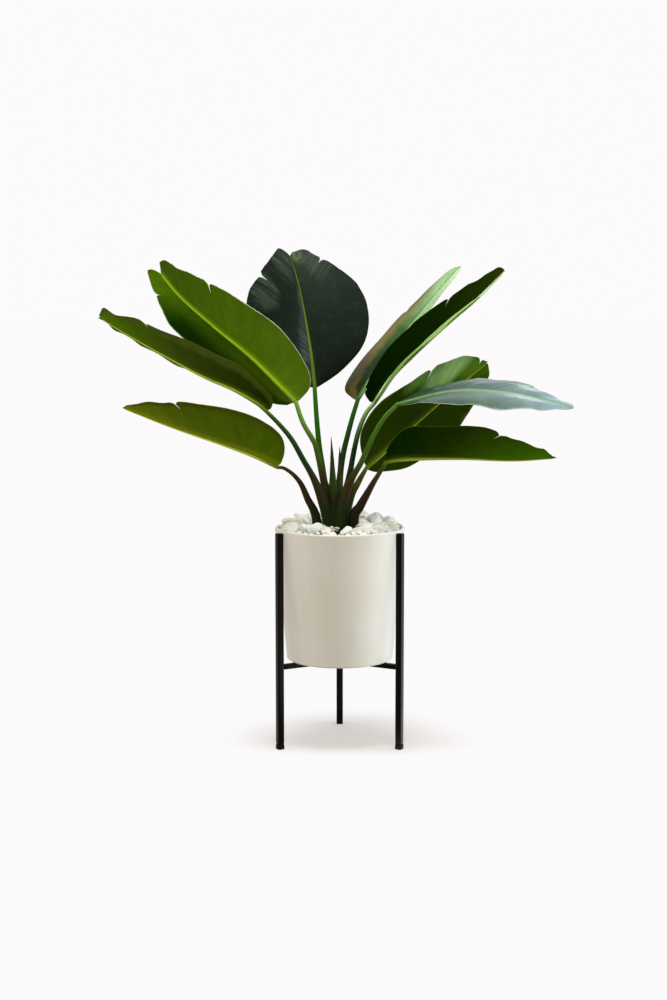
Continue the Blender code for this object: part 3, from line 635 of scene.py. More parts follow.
# stalk and rib as reach and height, left and right as half widths in mm, tears as half, place, depth and
# gape in mm, colours as screen values; a look that names no right half has the left one's greens
leaves = {
    "leaf_low_left": dict(
        sheath=0.7, foot=(-0.046, -0.012), turn=198, thick=(0.0066, 0.0036),
        stalk=[(0.002, 0.440), (0.018, 0.480), (0.030, 0.509), (0.045, 0.528), (0.063, 0.541)],
        rib=[(0.077, 0.543), (0.115, 0.563), (0.183, 0.590), (0.280, 0.625), (0.371, 0.662)],
        left=(15, 50, 90, 116, 125, 128, 122, 108, 92, 70, 46, 26, 5), leftLift=(38, 34),
        right=(10, 40, 75, 100, 115, 118, 112, 100, 84, 64, 42, 24, 5), rightLift=(22, 22),
        tears=[("left", 0.51, 0.29, 4)],
        under=dict(
            left=[(80, 108, 9), (92, 113, 17), (124, 142, 18)],
            right=[(60, 84, 5), (74, 96, 8), (108, 130, 16)], ribSide=(150, 160, 30), rim=(78, 84, 14),
            rimFrom=0.75, edge=(150, 160, 60), streak=0.22, bands=0.55, sideWidth=0.016, sideShare=0.60,
        ),
        upper=dict(
            left=[(26, 48, 10), (34, 62, 14), (60, 96, 24)],
            right=[(28, 50, 10), (34, 62, 14), (60, 96, 24)], ribSide=(110, 132, 40), rim=(60, 80, 30),
            rimFrom=0.85, shine=0.03,
        ),
        stem=[(34, 48, 16), (40, 40, 20), (66, 76, 20), (210, 220, 60)],
    ),
    "leaf_mid_left": dict(
        sheath=1.3, foot=(-0.025, -0.017), turn=212, thick=(0.0076, 0.0040),
        stalk=[
            (0.000, 0.430), (0.015, 0.484), (0.031, 0.524), (0.053, 0.560), (0.077, 0.598),
            (0.103, 0.627),
        ],
        rib=[
            (0.132, 0.654), (0.154, 0.672), (0.202, 0.698), (0.265, 0.724), (0.352, 0.768),
            (0.426, 0.808), (0.467, 0.832),
        ],
        left=(12, 28, 42, 60, 86, 106, 102, 98, 98, 82, 60, 54, 12), leftLift=(30, 22),
        right=(20, 40, 65, 80, 90, 92, 90, 84, 74, 60, 40, 24, 6), rightLift=(10, 5),
        tears=[("left", 0.65, 0.26, 4)],
        under=dict(
            left=[(46, 62, 8), (70, 86, 20), (98, 137, 14)],
            right=[(56, 96, 10), (66, 106, 12), (88, 124, 14)], ribSide=(104, 132, 20),
            rim=(92, 110, 36), rimFrom=0.55, edge=(96, 96, 36), bands=0.24,
        ),
        upper=dict(
            left=[(24, 42, 10), (30, 54, 14), (50, 84, 22)],
            right=[(28, 48, 10), (32, 58, 14), (54, 90, 24)], ribSide=(100, 124, 36), rim=(60, 66, 30),
            rimFrom=0.85, shine=0.02,
        ),
        stem=[(34, 50, 18), (36, 66, 24), (64, 104, 40), (190, 226, 60)],
    ),
    "leaf_high_left": dict(
        sheath=1.3, foot=(-0.017, 0.002), turn=210, thick=(0.0076, 0.0044),
        stalk=[(0.000, 0.426), (0.017, 0.515), (0.032, 0.578), (0.040, 0.595), (0.061, 0.628)],
        rib=[
            (0.076, 0.667), (0.105, 0.696), (0.171, 0.755), (0.244, 0.810), (0.312, 0.865),
            (0.353, 0.909),
        ],
        left=(8, 46, 72, 92, 110, 119, 124, 122, 108, 91, 70, 52, 35), leftLift=(34, 34),
        right=(25, 54, 68, 82, 108, 126, 123, 112, 96, 74, 60, 48, 28), rightLift=(-22, -22),
        tears=[("left", 0.59, 0.30, 4), ("right", 0.77, 0.15, 3)],
        # the bright greens are partly painted light shining through the blade, the dark band near the edge
        # of the right half is painted shade, and the pale edge line is a painted rim highlight
        under=dict(
            left=[(104, 142, 26), (100, 137, 21), (74, 105, 18)],
            right=[(108, 134, 26), (80, 124, 13), (100, 144, 15)], ribSide=(140, 190, 24),
            rim=(20, 62, 2), rimFrom=0.28, rimSoft=0.50, rimShare=0.9, rimSides=(0.0, 1.0),
            rimGone=(0.50, 0.72), edge=(226, 234, 200), edgeShare=1.0, streak=0.30, bands=0.44,
            sideWidth=0.011, sideShare=0.85, patches=0.16, rib=(170, 216, 48),
        ),
        upper=dict(
            left=[(28, 50, 12), (34, 64, 16), (44, 84, 22)], ribSide=(104, 134, 40), rim=(60, 84, 36),
            rimFrom=0.9,
        ),
        stem=[(36, 50, 20), (74, 100, 36), (132, 180, 72), (206, 250, 50)],
    ),
    "leaf_back": dict(
        foot=(-0.020, 0.020), turn=110, thick=(0.0070, 0.0042),
        stalk=[(0.000, 0.430), (0.022, 0.485), (0.042, 0.535), (0.060, 0.575), (0.075, 0.630)],
        rib=[(0.086, 0.686), (0.110, 0.757), (0.162, 0.856), (0.205, 0.912), (0.237, 0.944)],
        left=(10, 50, 103, 139, 152, 148, 131, 115, 96, 78, 59, 46, 30), leftLift=(8, 8),
        right=(5, 26, 68, 120, 152, 156, 142, 123, 102, 85, 64, 48, 18), rightLift=(8, 8),
        tears=[("left", 0.48, 0.15, 5), ("right", 0.675, 0.15, 4)],
        under=dict(
            left=[(56, 78, 30), (66, 92, 36), (74, 100, 44)], ribSide=(110, 134, 50), rim=(70, 84, 40),
            rimFrom=0.9,
        ),
        # the near-black greens are partly painted shade, and the grey-green sheens are painted gloss streaks
        upper=dict(
            left=[(9, 19, 10), (14, 23, 14), (16, 25, 14)],
            right=[(17, 24, 17), (23, 33, 26), (30, 41, 31)], ribSide=(30, 42, 20), rim=(10, 14, 8),
            rimFrom=0.93, edge=(20, 24, 16), rib=(92, 108, 22), shine=0.14, rough=0.38, streak=0.34,
            relief=1.0, streaky=1.0, patches=0.45,
            sheens=[
                (0.82, -0.55, 0.26, 0.50, 0.14, (92, 108, 84)),
                (0.26, -0.06, 0.28, 0.17, 0.46, (86, 102, 98)),
                (0.41, -0.82, 0.13, 0.34, 0.26, (94, 110, 92)),
                (0.93, 0.46, 0.10, 0.40, 0.50, (112, 120, 90)),
                (0.60, -0.08, 0.14, 0.10, 0.40, (84, 100, 88)),
                (0.76, 0.80, 0.26, 0.40, 0.36, (82, 96, 78)),
            ],
        ),
        stem=[(30, 44, 14), (34, 78, 10), (52, 108, 12), (96, 120, 26)],
    ),
    "leaf_back_right": dict(
        calm=0.3, foot=(0.000, 0.027), turn=54, thick=(0.0070, 0.0042),
        stalk=[(0.000, 0.430), (0.001, 0.511), (0.011, 0.559), (0.027, 0.598), (0.043, 0.632)],
        rib=[
            (0.061, 0.665), (0.109, 0.708), (0.189, 0.766), (0.272, 0.821), (0.354, 0.875),
            (0.431, 0.922),
        ],
        left=(8, 35, 82, 104, 114, 116, 123, 113, 98, 84, 72, 52, 10), leftLift=(-22, -18),
        right=(5, 14, 28, 42, 52, 57, 58, 56, 55, 50, 37, 23, 5), rightLift=(28, 26),
        tears=[("left", 0.525, 0.15, 3)],
        under=dict(
            left=[(60, 84, 30), (70, 96, 36), (84, 110, 44)], ribSide=(120, 144, 60), rim=(84, 96, 44),
            rimFrom=0.9,
        ),
        # the pale mint greens of the right half are painted light
        upper=dict(
            left=[(14, 27, 8), (38, 70, 26), (116, 148, 102)],
            right=[(92, 132, 80), (112, 146, 100), (146, 172, 134)], stops=(0.10, 0.45, 0.78),
            ribSide=(44, 80, 34), rim=(102, 90, 30), rimFrom=0.22, rimSoft=0.40, rimSides=(1.0, 0.25),
            rimGone=(0.55, 0.95), edge=(40, 34, 18), edgeShare=1.0, edgeSides=(1.0, 0.0), relief=0.3,
            rib=(150, 184, 100), shine=0.04, rough=0.5, streak=0.50, bands=0.40,
            sheens=[
                (0.12, -0.85, 0.24, 0.60, 0.9, (50, 42, 18)),
                (0.40, -0.90, 0.40, 0.34, 0.6, (66, 54, 26)),
                (0.80, -1.0, 0.35, 0.13, 1.0, (24, 26, 12)),
                (0.14, -0.16, 0.26, 0.26, 0.8, (12, 28, 8)),
                (0.62, -0.85, 0.24, 0.34, 0.8, (70, 66, 36)),
            ],
        ),
        stem=[(30, 44, 16), (24, 56, 18), (36, 84, 28), (70, 110, 44)],
    ),
    "leaf_high_right": dict(
        calm=0.1, sheath=1.2, foot=(0.008, 0.010), turn=22, thick=(0.0070, 0.0044),
        stalk=[(0.000, 0.430), (0.011, 0.513), (0.020, 0.565), (0.031, 0.608), (0.046, 0.641)],
        rib=[
            (0.063, 0.660), (0.101, 0.712), (0.145, 0.751), (0.190, 0.788), (0.235, 0.823),
            (0.280, 0.857), (0.341, 0.912),
        ],
        left=(15, 48, 62, 75, 105, 116, 117, 111, 107, 87, 61, 45, 11), leftLift=(12, 14),
        right=(8, 30, 60, 85, 105, 112, 105, 84, 60, 42, 28, 18, 6), rightLift=(16.3, 18.3),
        tears=[("left", 0.52, 0.34, 5)],
        under=dict(
            left=[(60, 90, 26), (72, 104, 32), (84, 116, 40)],
            right=[(90, 124, 50), (110, 142, 60), (120, 150, 70)], ribSide=(150, 176, 90),
            rim=(110, 140, 66), rimFrom=0.9, relief=0.2,
        ),
        # the near-black left half is partly painted shade, and the pale right half with its cream fold line
        # is a painted highlight where that half catches the light
        upper=dict(
            left=[(4, 18, 1), (9, 23, 1), (25, 38, 5)],
            right=[(104, 138, 62), (140, 166, 108), (162, 184, 134)], ribSide=(16, 34, 8),
            rim=(12, 30, 6), rimFrom=0.93, edge=(40, 44, 20), edgeSides=(1.0, 0.0), rib=(206, 222, 172),
            shine=0.0, rough=0.5, streak=0.08, relief=0.2,
        ),
        stem=[(30, 44, 16), (26, 60, 20), (120, 160, 90), (150, 186, 90)],
    ),
    "leaf_mid_right": dict(
        sheath=1.4, foot=(0.012, -0.004), turn=20, thick=(0.0070, 0.0040),
        stalk=[(0.000, 0.427), (0.012, 0.481), (0.025, 0.506), (0.033, 0.521)],
        rib=[
            (0.043, 0.538), (0.087, 0.574), (0.137, 0.615), (0.193, 0.658), (0.257, 0.708),
            (0.293, 0.733),
        ],
        left=(10, 31, 57, 96, 126, 139, 134, 120, 105, 88, 60, 37, 8), leftLift=(-58, -52),
        right=(15, 76, 107, 121, 123, 126, 124, 115, 96, 73, 47, 25, 8), rightLift=(60, 50),
        tears=[("right", 0.395, 0.29, 4), ("right", 0.90, 0.40, 8)],
        # the dark olive greens towards the base are a painted shadow under leaf_front_right, and the pale
        # green sheens are painted highlights
        under=dict(
            left=[(35, 55, 3), (35, 53, 4), (60, 92, 4)],
            right=[(40, 56, 4), (40, 60, 6), (66, 102, 8)], stops=(0.30, 0.62, 0.92),
            ribSide=(84, 104, 22), rim=(70, 104, 30), rimFrom=0.9, edge=(130, 120, 60), bands=0.34,
            streaky=0.3,
            sheens=[
                (0.58, 0.80, 0.24, 0.60, 0.90, (148, 190, 114)),
                (0.34, 1.0, 0.12, 0.34, 0.8, (96, 140, 60)),
                (0.84, 0.60, 0.16, 0.60, 0.5, (88, 132, 40)),
            ],
        ),
        upper=dict(
            left=[(22, 44, 8), (28, 56, 12), (44, 84, 22)], ribSide=(96, 120, 36), rim=(60, 80, 30),
            rimFrom=0.9,
        ),
        stem=[(34, 44, 18), (46, 56, 20), (118, 128, 34), (150, 160, 40)],
    ),
    "leaf_front_right": dict(
        sheath=1.6, foot=(0.006, -0.022), turn=-34, thick=(0.0072, 0.0042),
        stalk=[
            (0.000, 0.430), (0.009, 0.489), (0.023, 0.524), (0.042, 0.554), (0.069, 0.605),
            (0.094, 0.641),
        ],
        rib=[
            (0.124, 0.668), (0.164, 0.679), (0.203, 0.689), (0.242, 0.696), (0.293, 0.700),
            (0.372, 0.697), (0.431, 0.687), (0.485, 0.677),
        ],
        left=(30, 85, 105, 100, 88, 88, 86, 80, 56, 48, 35, 25, 5), leftLift=(12, 9),
        right=(4, 9, 18, 34, 62, 85, 104, 95, 82, 59, 39, 24, 5), rightLift=(-24, -24),
        tears=[("left", 0.58, 0.15, 3)],
        under=dict(
            left=[(70, 100, 34), (84, 116, 44), (96, 126, 54)], ribSide=(130, 156, 60),
            rim=(90, 110, 50), rimFrom=0.9,
        ),
        # the blue-grey greens towards the tip, the pale band and line at the edge and the white sheens are
        # painted reflections and highlights
        upper=dict(
            left=[(26, 48, 38), (52, 77, 72), (122, 147, 153)],
            right=[(28, 56, 18), (78, 100, 90), (126, 149, 156)], ribSide=(80, 120, 60),
            rim=(150, 168, 164), rimFrom=0.9, edge=(196, 210, 206), edgeShare=0.9, rib=(110, 150, 86),
            spots=0.0, shine=0.40, rough=0.28, streak=0.24,
            sheens=[
                (0.72, 0.35, 0.16, 0.20, 0.5, (206, 220, 222)),
                (0.60, -0.75, 0.14, 0.22, 0.5, (196, 212, 214)),
            ],
        ),
        stem=[(40, 52, 20), (70, 104, 34), (96, 140, 46), (110, 150, 60)],
    ),
    "leaf_low_right": dict(
        sheath=1.0, foot=(0.030, -0.025), turn=-28, thick=(0.0066, 0.0040),
        stalk=[(0.001, 0.442), (0.012, 0.464), (0.025, 0.488), (0.038, 0.512), (0.051, 0.533)],
        rib=[
            (0.065, 0.555), (0.095, 0.562), (0.142, 0.566), (0.229, 0.570), (0.324, 0.571),
            (0.406, 0.579),
        ],
        left=(8, 30, 60, 80, 95, 100, 98, 88, 74, 56, 36, 20, 5), leftLift=(10, 10),
        right=(6, 22, 57, 104, 122, 138, 140, 123, 105, 81, 52, 28, 5), rightLift=(40, 35),
        tears=[("right", 0.50, 0.28, 4)],
        # the near-black greens towards the base, ending in a steep step, are a painted shadow cast by
        # leaf_front_right
        under=dict(
            left=[(30, 50, 4), (46, 70, 6), (66, 110, 10)],
            right=[(18, 46, 2), (41, 58, 3), (76, 130, 11)], stops=(0.16, 0.36, 0.95),
            ribSide=(76, 100, 14), rim=(30, 50, 4), rimFrom=0.9, edge=(90, 110, 30), streak=0.24,
            bands=0.34,
        ),
        upper=dict(
            left=[(22, 42, 8), (28, 56, 12), (44, 84, 22)], ribSide=(96, 120, 36), rim=(60, 80, 30),
            rimFrom=0.9,
        ),
        stem=[(30, 40, 16), (44, 34, 22), (70, 84, 24), (178, 192, 60)],
    ),
}

shoots = {
    "shoot_tall": dict(
        foot=(-0.0105, -0.0145), tip=(-0.0165, -0.016, 0.600), thick=0.0058,
        girth=[(0, 0.0062), (0.35, 0.0078), (0.60, 0.0082), (0.72, 0.0056), (0.88, 0.0026), (1, 0.0004)],
    ),
    "shoot_short": dict(
        foot=(-0.001, -0.003), tip=(0.000, -0.006, 0.580), thick=0.0056,
        girth=[(0, 0.0060), (0.35, 0.0070), (0.58, 0.0068), (0.74, 0.0046), (0.90, 0.0024), (1, 0.0004)],
    ),
}
rolled = {
    "sides": 36,
    "rings": 110,
    "turn": 3.9,  # where the outer edge starts, and how far it winds on the way up
    "wind": 2.6,
    "inner": 0.86,
    "proud": 0.14,
    "flat": 0.8,
    "greens": [(0.15, tint(40, 46, 18)), (0.45, tint(44, 40, 20)), (0.62, tint(50, 66, 24)),
               (0.95, tint(38, 56, 20))],
}


def inSpace(leaf, points):
    turn = radians(leaf["turn"])
    reach, height = np.array(points, float).T
    x, y = leaf["foot"]
    return np.stack([x + reach * cos(turn), y + reach * sin(turn), height], axis=1)


def rightOf(leaf):
    turn = radians(leaf["turn"])
    return np.array([sin(turn), -cos(turn), 0.0])


def stalkLine(leaf, count):
    points = [(leaf["stalk"][0][0], soilTop - stem["depth"])] + leaf["stalk"] + [leaf["rib"][0]]
    line = inSpace(leaf, smoothLine(points, count))
    low, high = leaf["thick"]
    return line, low + (high - low) * np.linspace(0, 1, count) ** 1.3


def stalkSpots(leaf):
    # where the solid's stalk passes the stones, with its radius
    points, radii = stalkLine(leaf, 11)
    return [(p[0], p[1], r) for p, r in zip(points, radii) if soilTop - 0.01 < p[2] < potTop + 0.03]


def ribFrames(leaf, shares):
    line = inSpace(leaf, smoothLine(leaf["rib"], 400))
    onward = unit(atShares(np.gradient(line, axis=0), shares))
    right = np.tile(rightOf(leaf), (len(shares), 1))
    return atShares(line, shares), onward, right, np.cross(right, onward)


def rowShares(leaf):
    # denser near the stalk, with a row on every tear
    shares = np.linspace(0, 1, blade["rows"]) ** 1.15
    for _, share, _, _ in leaf["tears"]:
        shares[np.argmin(abs(shares - share))] = share
    return shares


def scatter(shares, count, draw):
    # a smooth run of chance values between -1 and 1
    return np.interp(shares, np.linspace(0, 1, count), [draw.uniform(-1, 1) for _ in range(count)])


def halfWidths(leaf, side, shares, draw):
    # how far the edge is from the midrib at each row, with a slightly uneven edge and rounded ends
    given = smoothLine(list(zip(blade["shares"], np.array(leaf[side]) / 1000)), 600)
    widths = np.interp(shares, given[:, 0], given[:, 1])
    for where, share, _, _ in leaf["tears"]:
        if where == side:
            widths *= 1 - blade["tearNarrow"] * np.exp(-((shares - share) / blade["tearNotch"]) ** 2)
    widths *= 1 + leaf.get("calm", 1.0) * blade["uneven"] * scatter(shares, blade["chances"]["edge"], draw)
    end = np.clip((shares - blade["roundFrom"]) / (1 - blade["roundFrom"]), 0, 1)
    return widths * (1 - blade["roundShare"] * end**3)


def halfGrid(leaf, side, shares, draw):
    # points of one half, row by row along the side veins, with where each point lies
    u = np.array(blade["columns"])[None, :]
    calm = leaf.get("calm", 1.0)
    places, onward, right, up = ribFrames(leaf, shares)
    sign = 1 if side == "right" else -1
    lift = np.radians(np.interp(shares, (0, 1), leaf[side + "Lift"]))[:, None]
    widths = halfWidths(leaf, side, shares, draw)[:, None]
    slant = np.radians(blade["veinSlant"] * (1 - (1 - shares) ** 3))[:, None]
    out = sign * np.cos(lift) * right + np.sin(lift) * up
    across = np.cos(slant) * out + np.sin(slant) * onward
    normal = np.cos(lift) * up - sign * np.sin(lift) * right
    wave = blade["wave"] * np.sin(2 * pi * (blade["waves"] * shares + blade["wavePhase"][side]))
    wave = calm * (wave + blade["ripple"] * scatter(shares, blade["chances"]["ripple"], draw))
    vein = shares * np.linalg.norm(np.diff(places, axis=0), axis=1).sum()
    folds = vein / blade["pleatWidth"] + 0.5 * scatter(shares, blade["chances"]["pleat"], draw)
    fold = calm * blade["pleat"] * np.cos(2 * pi * folds)
    raised = wave[:, None] * u**2 + blade["bow"] * widths * u * (1 - u)
    raised += fold[:, None] * np.clip(u * 6, 0, 1) * (1 - 0.5 * u)
    reach = widths * u
    points = places[:, None] + across[:, None] * reach[..., None] + normal[:, None] * raised[..., None]
    return points, onward, vein, sign * u[0], reach


def tornHalf(leaf, side, shares, points, onward):
    # opens the tears: the rows on both sides of a tear lean away from it, and the torn row is doubled
    columns = np.array(blade["columns"])
    cuts = {}
    moved = points.copy()
    for where, share, depth, gape in leaf["tears"]:
        if where != side:
            continue
        row = int(np.argmin(abs(shares - share)))
        root = int(np.argmin(abs(columns - (1 - depth))))
        cuts[row] = root
        outward = np.clip((columns - columns[root]) / (1 - columns[root]), 0, 1)
        opened = outward**1.2 * gape / 2000  # half of the gape to each side, in metres
        fade = np.exp(-abs(shares - share) / blade["tearReach"])
        lean = np.where(shares >= share, 1, -1)[:, None] * fade[:, None] * opened
        moved += lean[..., None] * onward[:, None]
    twins = {row: 2 * points[row] - moved[row] for row in cuts}  # the torn row's other lip
    return moved, cuts, twins


def bladeMesh(leaf, draw):
    # both halves as one sheet, with what the finish needs to know of every point
    shares = rowShares(leaf)
    columns = len(blade["columns"])
    points, faces, marks = [], [], []
    ribIndex = None
    for side in ("left", "right"):
        grid, onward, vein, acrossHere, reach = halfGrid(leaf, side, shares, draw)
        moved, cuts, twins = tornHalf(leaf, side, shares, grid, onward)
        index = np.zeros((len(shares), columns), int)
        lips = {}
        for i, share in enumerate(shares):
            for j in range(columns):
                if j == 0 and ribIndex is not None:
                    index[i, 0] = ribIndex[i]
                    continue
                index[i, j] = len(points)
                points.append(moved[i, j])
                marks.append((share, acrossHere[j], vein[i], reach[i, j]))
            if i in cuts:
                lips[i] = index[i].copy()
                for j in range(cuts[i] + 1, columns):
                    lips[i][j] = len(points)
                    points.append(twins[i][j])
                    marks.append((share, acrossHere[j], vein[i], reach[i, j]))
        if ribIndex is None:
            ribIndex = index[:, 0].copy()
        for i in range(len(shares) - 1):
            high = lips.get(i + 1, index[i + 1])
            for j in range(columns - 1):
                quad = (index[i, j], high[j], high[j + 1], index[i, j + 1])
                faces.append(quad if side == "left" else quad[::-1])
    return np.array(points), faces, np.array(marks).T


def thickened(points, faces, across):
    # the sheet as a closed blade: upper skin, under skin and the strip round the edge
    quads = np.array(faces)
    cross = np.cross(points[quads[:, 2]] - points[quads[:, 0]], points[quads[:, 3]] - points[quads[:, 1]])
    normals = np.zeros_like(points)
    for k in range(4):
        np.add.at(normals, quads[:, k], cross)
    normals = unit(normals)
    half = (blade["thickAtRib"] + (blade["thickAtEdge"] - blade["thickAtRib"]) * np.abs(across) ** 0.5) / 2
    count = len(points)
    both = np.vstack([points + normals * half[:, None], points - normals * half[:, None]])
    edges = dict.fromkeys(edge for quad in faces for edge in zip(quad, quad[1:] + quad[:1]))
    rim = [(b, a, a + count, b + count) for a, b in edges if (b, a) not in edges]
    shapes = list(faces) + [tuple(index + count for index in quad[::-1]) for quad in faces] + rim
    return both, shapes, [0] * len(faces) + [1] * (len(faces) + len(rim))


def stemMesh(leaf):
    # the stalk, wide and channelled where it sheathes the heart, running on as the midrib under the blade
    stalk, stalkRadii = stalkLine(leaf, stem["stalkRings"])
    shares = np.linspace(0, stem["ribEnd"], stem["ribRings"])
    ribs, _, _, ribUp = ribFrames(leaf, shares)
    ribRadii = leaf["thick"][1] + (stem["ribTip"] - leaf["thick"][1]) * shares**0.7
    ribs = ribs - ribUp * (ribRadii * stem["seat"])[:, None] * np.minimum(shares * 8, 1)[:, None]
    line = np.vstack([stalk[:-1], ribs])
    radii = np.r_[stalkRadii[:-1], ribRadii]
    inBlade = np.r_[np.zeros(len(stalk) - 1), np.minimum(shares * 12, 1)]
    along = np.r_[np.linspace(0, 0.5, len(stalk))[:-1], 0.5 + 0.5 * shares]
    onward = unit(np.gradient(line, axis=0))
    right = rightOf(leaf)
    up = unit(np.cross(np.tile(right, (len(line), 1)), onward))
    low, high = stem["sheathFrom"], stem["sheathTo"]
    rise = np.clip((line[:, 2] - low) / (high - low), 0, 1)
    sheath = leaf.get("sheath", 1.0) * stem["sheath"] * (1 - rise * rise * (3 - 2 * rise)) * (1 - inBlade)
    turns = np.arange(stem["sides"]) * 2 * pi / stem["sides"]
    wide, tall = np.cos(turns), np.sin(turns)
    channel = np.exp(-((turns - pi / 2) / stem["grooveWidth"]) ** 2)
    rings = []
    for place, r, upWay, blend, share, extra in zip(line, radii, up, inBlade, along, sheath):
        groove = stem["groove"] * np.clip((share - 0.12) * 8, 0, 1) * (1 - blend)
        lifted = tall * np.where(tall > 0, 1 - blend * 0.75, 1 + blend * 0.35) - groove * channel
        lifted = lifted * r + np.where(tall > -0.2, (tall + 0.2) / 1.2, 0) * extra
        spread = wide * (r * (1 + stem["ribWiden"] * blend) + stem["sheathSide"] * extra)
        rings.append(place + right * spread[:, None] + upWay * lifted[:, None])
    faces = tubeFaces(len(line), len(turns))
    return np.vstack(rings), faces, np.repeat(along, len(turns)), np.tile(turns, len(line))


def leafFinish(name, look):
    # a blade's skin: greens along and across, side veins as ridges, a line at the midrib, a thin edge line
    # that is a dry edge on most leaves and a painted rim highlight on some; on some leaves the greens, the
    # band near the edge and the sheens hold painted light and shade
    look = {**plainLook, **look}
    finish = Finish(name, Specular_IOR_Level=look["shine"])
    place = finish.objectPlace()
    along, across, vein, fromRib = (finish.attribute(label) for label in bladeMarks)
    away, rightHalf = abs(across), across > 0

    def bySide(shares):
        # the first share on the left half, the second on the right one
        return shares[0] + rightHalf * (shares[1] - shares[0])

    broad = finish.noise(finish.place(vein * 60.0, across * 1.2), 1.0)
    lines = finish.noise(finish.place(vein * 420.0, across * 1.4), 1.0, 3.0, 0.6)
    hairs = finish.noise(finish.place(vein * 1900.0, across * 3.0), 1.0, 1.0)
    mottle = finish.noise(place, 32.0, 3.0, 0.6)
    drift = along + (mottle - 0.5) * 0.10
    halves = [[tint(*green) for green in look.get(side, look["left"])] for side in ("left", "right")]
    left, right = (finish.ramp(drift, list(zip(look["stops"], greens))) for greens in halves)
    colour = finish.mix(rightHalf, left, right)

    # a band near the edge: the leaf's own colour on most leaves, painted shade on leaf_high_left's under
    # side and a painted highlight on leaf_front_right's upper side
    rim = (away + (broad - 0.5) * 0.25).ease(look["rimFrom"], look["rimFrom"] + look["rimSoft"])
    rim = rim * bySide(look["rimSides"]) * (1 - along.ease(*look["rimGone"]))
    colour = finish.mix(rim * look["rimShare"], colour, tint(*look["rim"]))
    streaky = (lines * 0.8 + broad * 0.4).ease(0.46, 0.76) * look["streaky"] + (1 - look["streaky"])
    # patches of colour: painted highlights and gloss streaks on most leaves, brown and dark blotches on
    # leaf_back_right
    for middle, out, length, width, share, shade in look["sheens"]:
        onward, aside = (drift - middle) / length, (across - out) / width
        near = onward * onward + aside * aside
        sameSide = rightHalf if out > 0 else 1 - rightHalf
        colour = finish.mix((1 - near.ease(0.0, 1.0)) * streaky * sameSide * share, colour, tint(*shade))
    light = 0.88 - look["bands"] / 2 + broad * look["bands"] + lines * look["streak"] + mottle * 0.12
    colour = finish.scaled(colour, light)
    patchy = finish.noise(place, 62.0, 3.0, 0.7).ease(0.50, 0.72)
    colour = finish.scaled(colour, 1 + patchy * look["patches"])

    offRib = fromRib - (0.0042 - along * 0.0028)
    beside = (1 - offRib.ease(0.0, look["sideWidth"])) * look["sideShare"]
    colour = finish.mix(beside, colour, tint(*look["ribSide"]))
    colour = finish.mix((1 - offRib.ease(-0.0008, 0.0006)) * look["ribShare"], colour, tint(*look["rib"]))
    # the edge line: a dry edge on most leaves, a painted rim highlight where a leaf's edge colour is pale
    wearAndBreakup = finish.noise(finish.place(vein * 90.0), 1.0).ease(0.35, 0.60)
    dryEdgeAndRimLight = away.ease(0.978, 0.994) * (0.55 + wearAndBreakup * 0.45) * bySide(look["edgeSides"])
    colour = finish.mix(dryEdgeAndRimLight * look["edgeShare"], colour, tint(*look["edge"]))
    spots = 1 - finish.cells(place, 46.0).ease(0.03, 0.07)
    spots = spots * finish.noise(place, 15.0, 1.0).ease(0.62, 0.68)
    colour = finish.mix(spots * look["spots"], colour, tint(*look["speck"]))
    finish.bump(lines * 0.6 + hairs * 0.05 + broad, 0.00035, look["relief"])
    return finish.paint(Base_Color=colour, Roughness=look["rough"] - 0.08 + lines * 0.08 + mottle * 0.10)


def stemFinish(name, greens):
    # stalk and midrib: four greens from the soil to the tip, fibres along it, painted shade low in the
    # clump, brown where the sheaths end
    finish = Finish(name, Specular_IOR_Level=0.04)
    along, turn = finish.attribute("along"), finish.attribute("turn")
    place = finish.objectPlace()
    height = finish.split(place, 2)
    colour = finish.ramp(along, list(zip(stem["greensAt"], [tint(*green) for green in greens])))
    fibres = finish.noise(finish.place(turn * 7.0, along * 9.0), 1.0, 4.0, 0.6)
    blotch = finish.noise(place, 60.0, 3.0)
    # the height factor darkens the stalks low in the clump among the stones: painted shade
    light = (0.68 + fibres * 0.36 + blotch * 0.20) * (0.78 + height.ease(0.43, 0.56) * 0.22)
    colour = finish.scaled(colour, light)
    band = height.ease(0.455, 0.495) * (1 - height.ease(0.515, 0.560))
    colour = finish.mix(band * (fibres + blotch - 0.35).ease(0.45, 0.75) * 0.85, colour, stem["brown"])
    finish.bump(fibres, 0.0004, 0.5)
    return finish.paint(Base_Color=colour, Roughness=0.38 + fibres * 0.12)


def makeLeaf(name, leaf, draw):
    sheet, faces, marks = bladeMesh(leaf, draw)
    skin, shapes, kinds = thickened(sheet, faces, marks[1])
    stalk, stalkFaces, stalkAlong, stalkTurn = stemMesh(leaf)
    start = len(skin)
    shapes += [tuple(index + start for index in face) for face in stalkFaces]
    kinds += [2] * len(stalkFaces)
    values = {"turn": np.r_[np.zeros(start), stalkTurn]}
    for label, numbers, onStalk in zip(bladeMarks, marks, (stalkAlong, 0, 0, 0)):
        values[label] = np.r_[numbers, numbers, onStalk + np.zeros(len(stalk))]
    finishes = [leafFinish(name + "_top", leaf["upper"]),
                leafFinish(name + "_under", {**dull, **leaf["under"]}),
                stemFinish(name + "_stem", leaf["stem"])]
    piece = fromPoints(name + "_grown", np.vstack([skin, stalk]), shapes, finishes, kinds, values)
    rides(piece, "leaf", name)


def shootFinish():
    finish = Finish("shootSkin", Roughness=0.42, Specular_IOR_Level=0.04)
    along, turn = finish.attribute("along"), finish.attribute("turn")
    streaks = finish.noise(finish.place(turn * 6.0, along * 4.0), 1.0, 4.0, 0.6)
    colour = finish.ramp(along, rolled["greens"])
    finish.bump(streaks, 0.0005, 0.6)
    return finish.paint(Base_Color=finish.scaled(colour, 0.70 + streaks * 0.55))


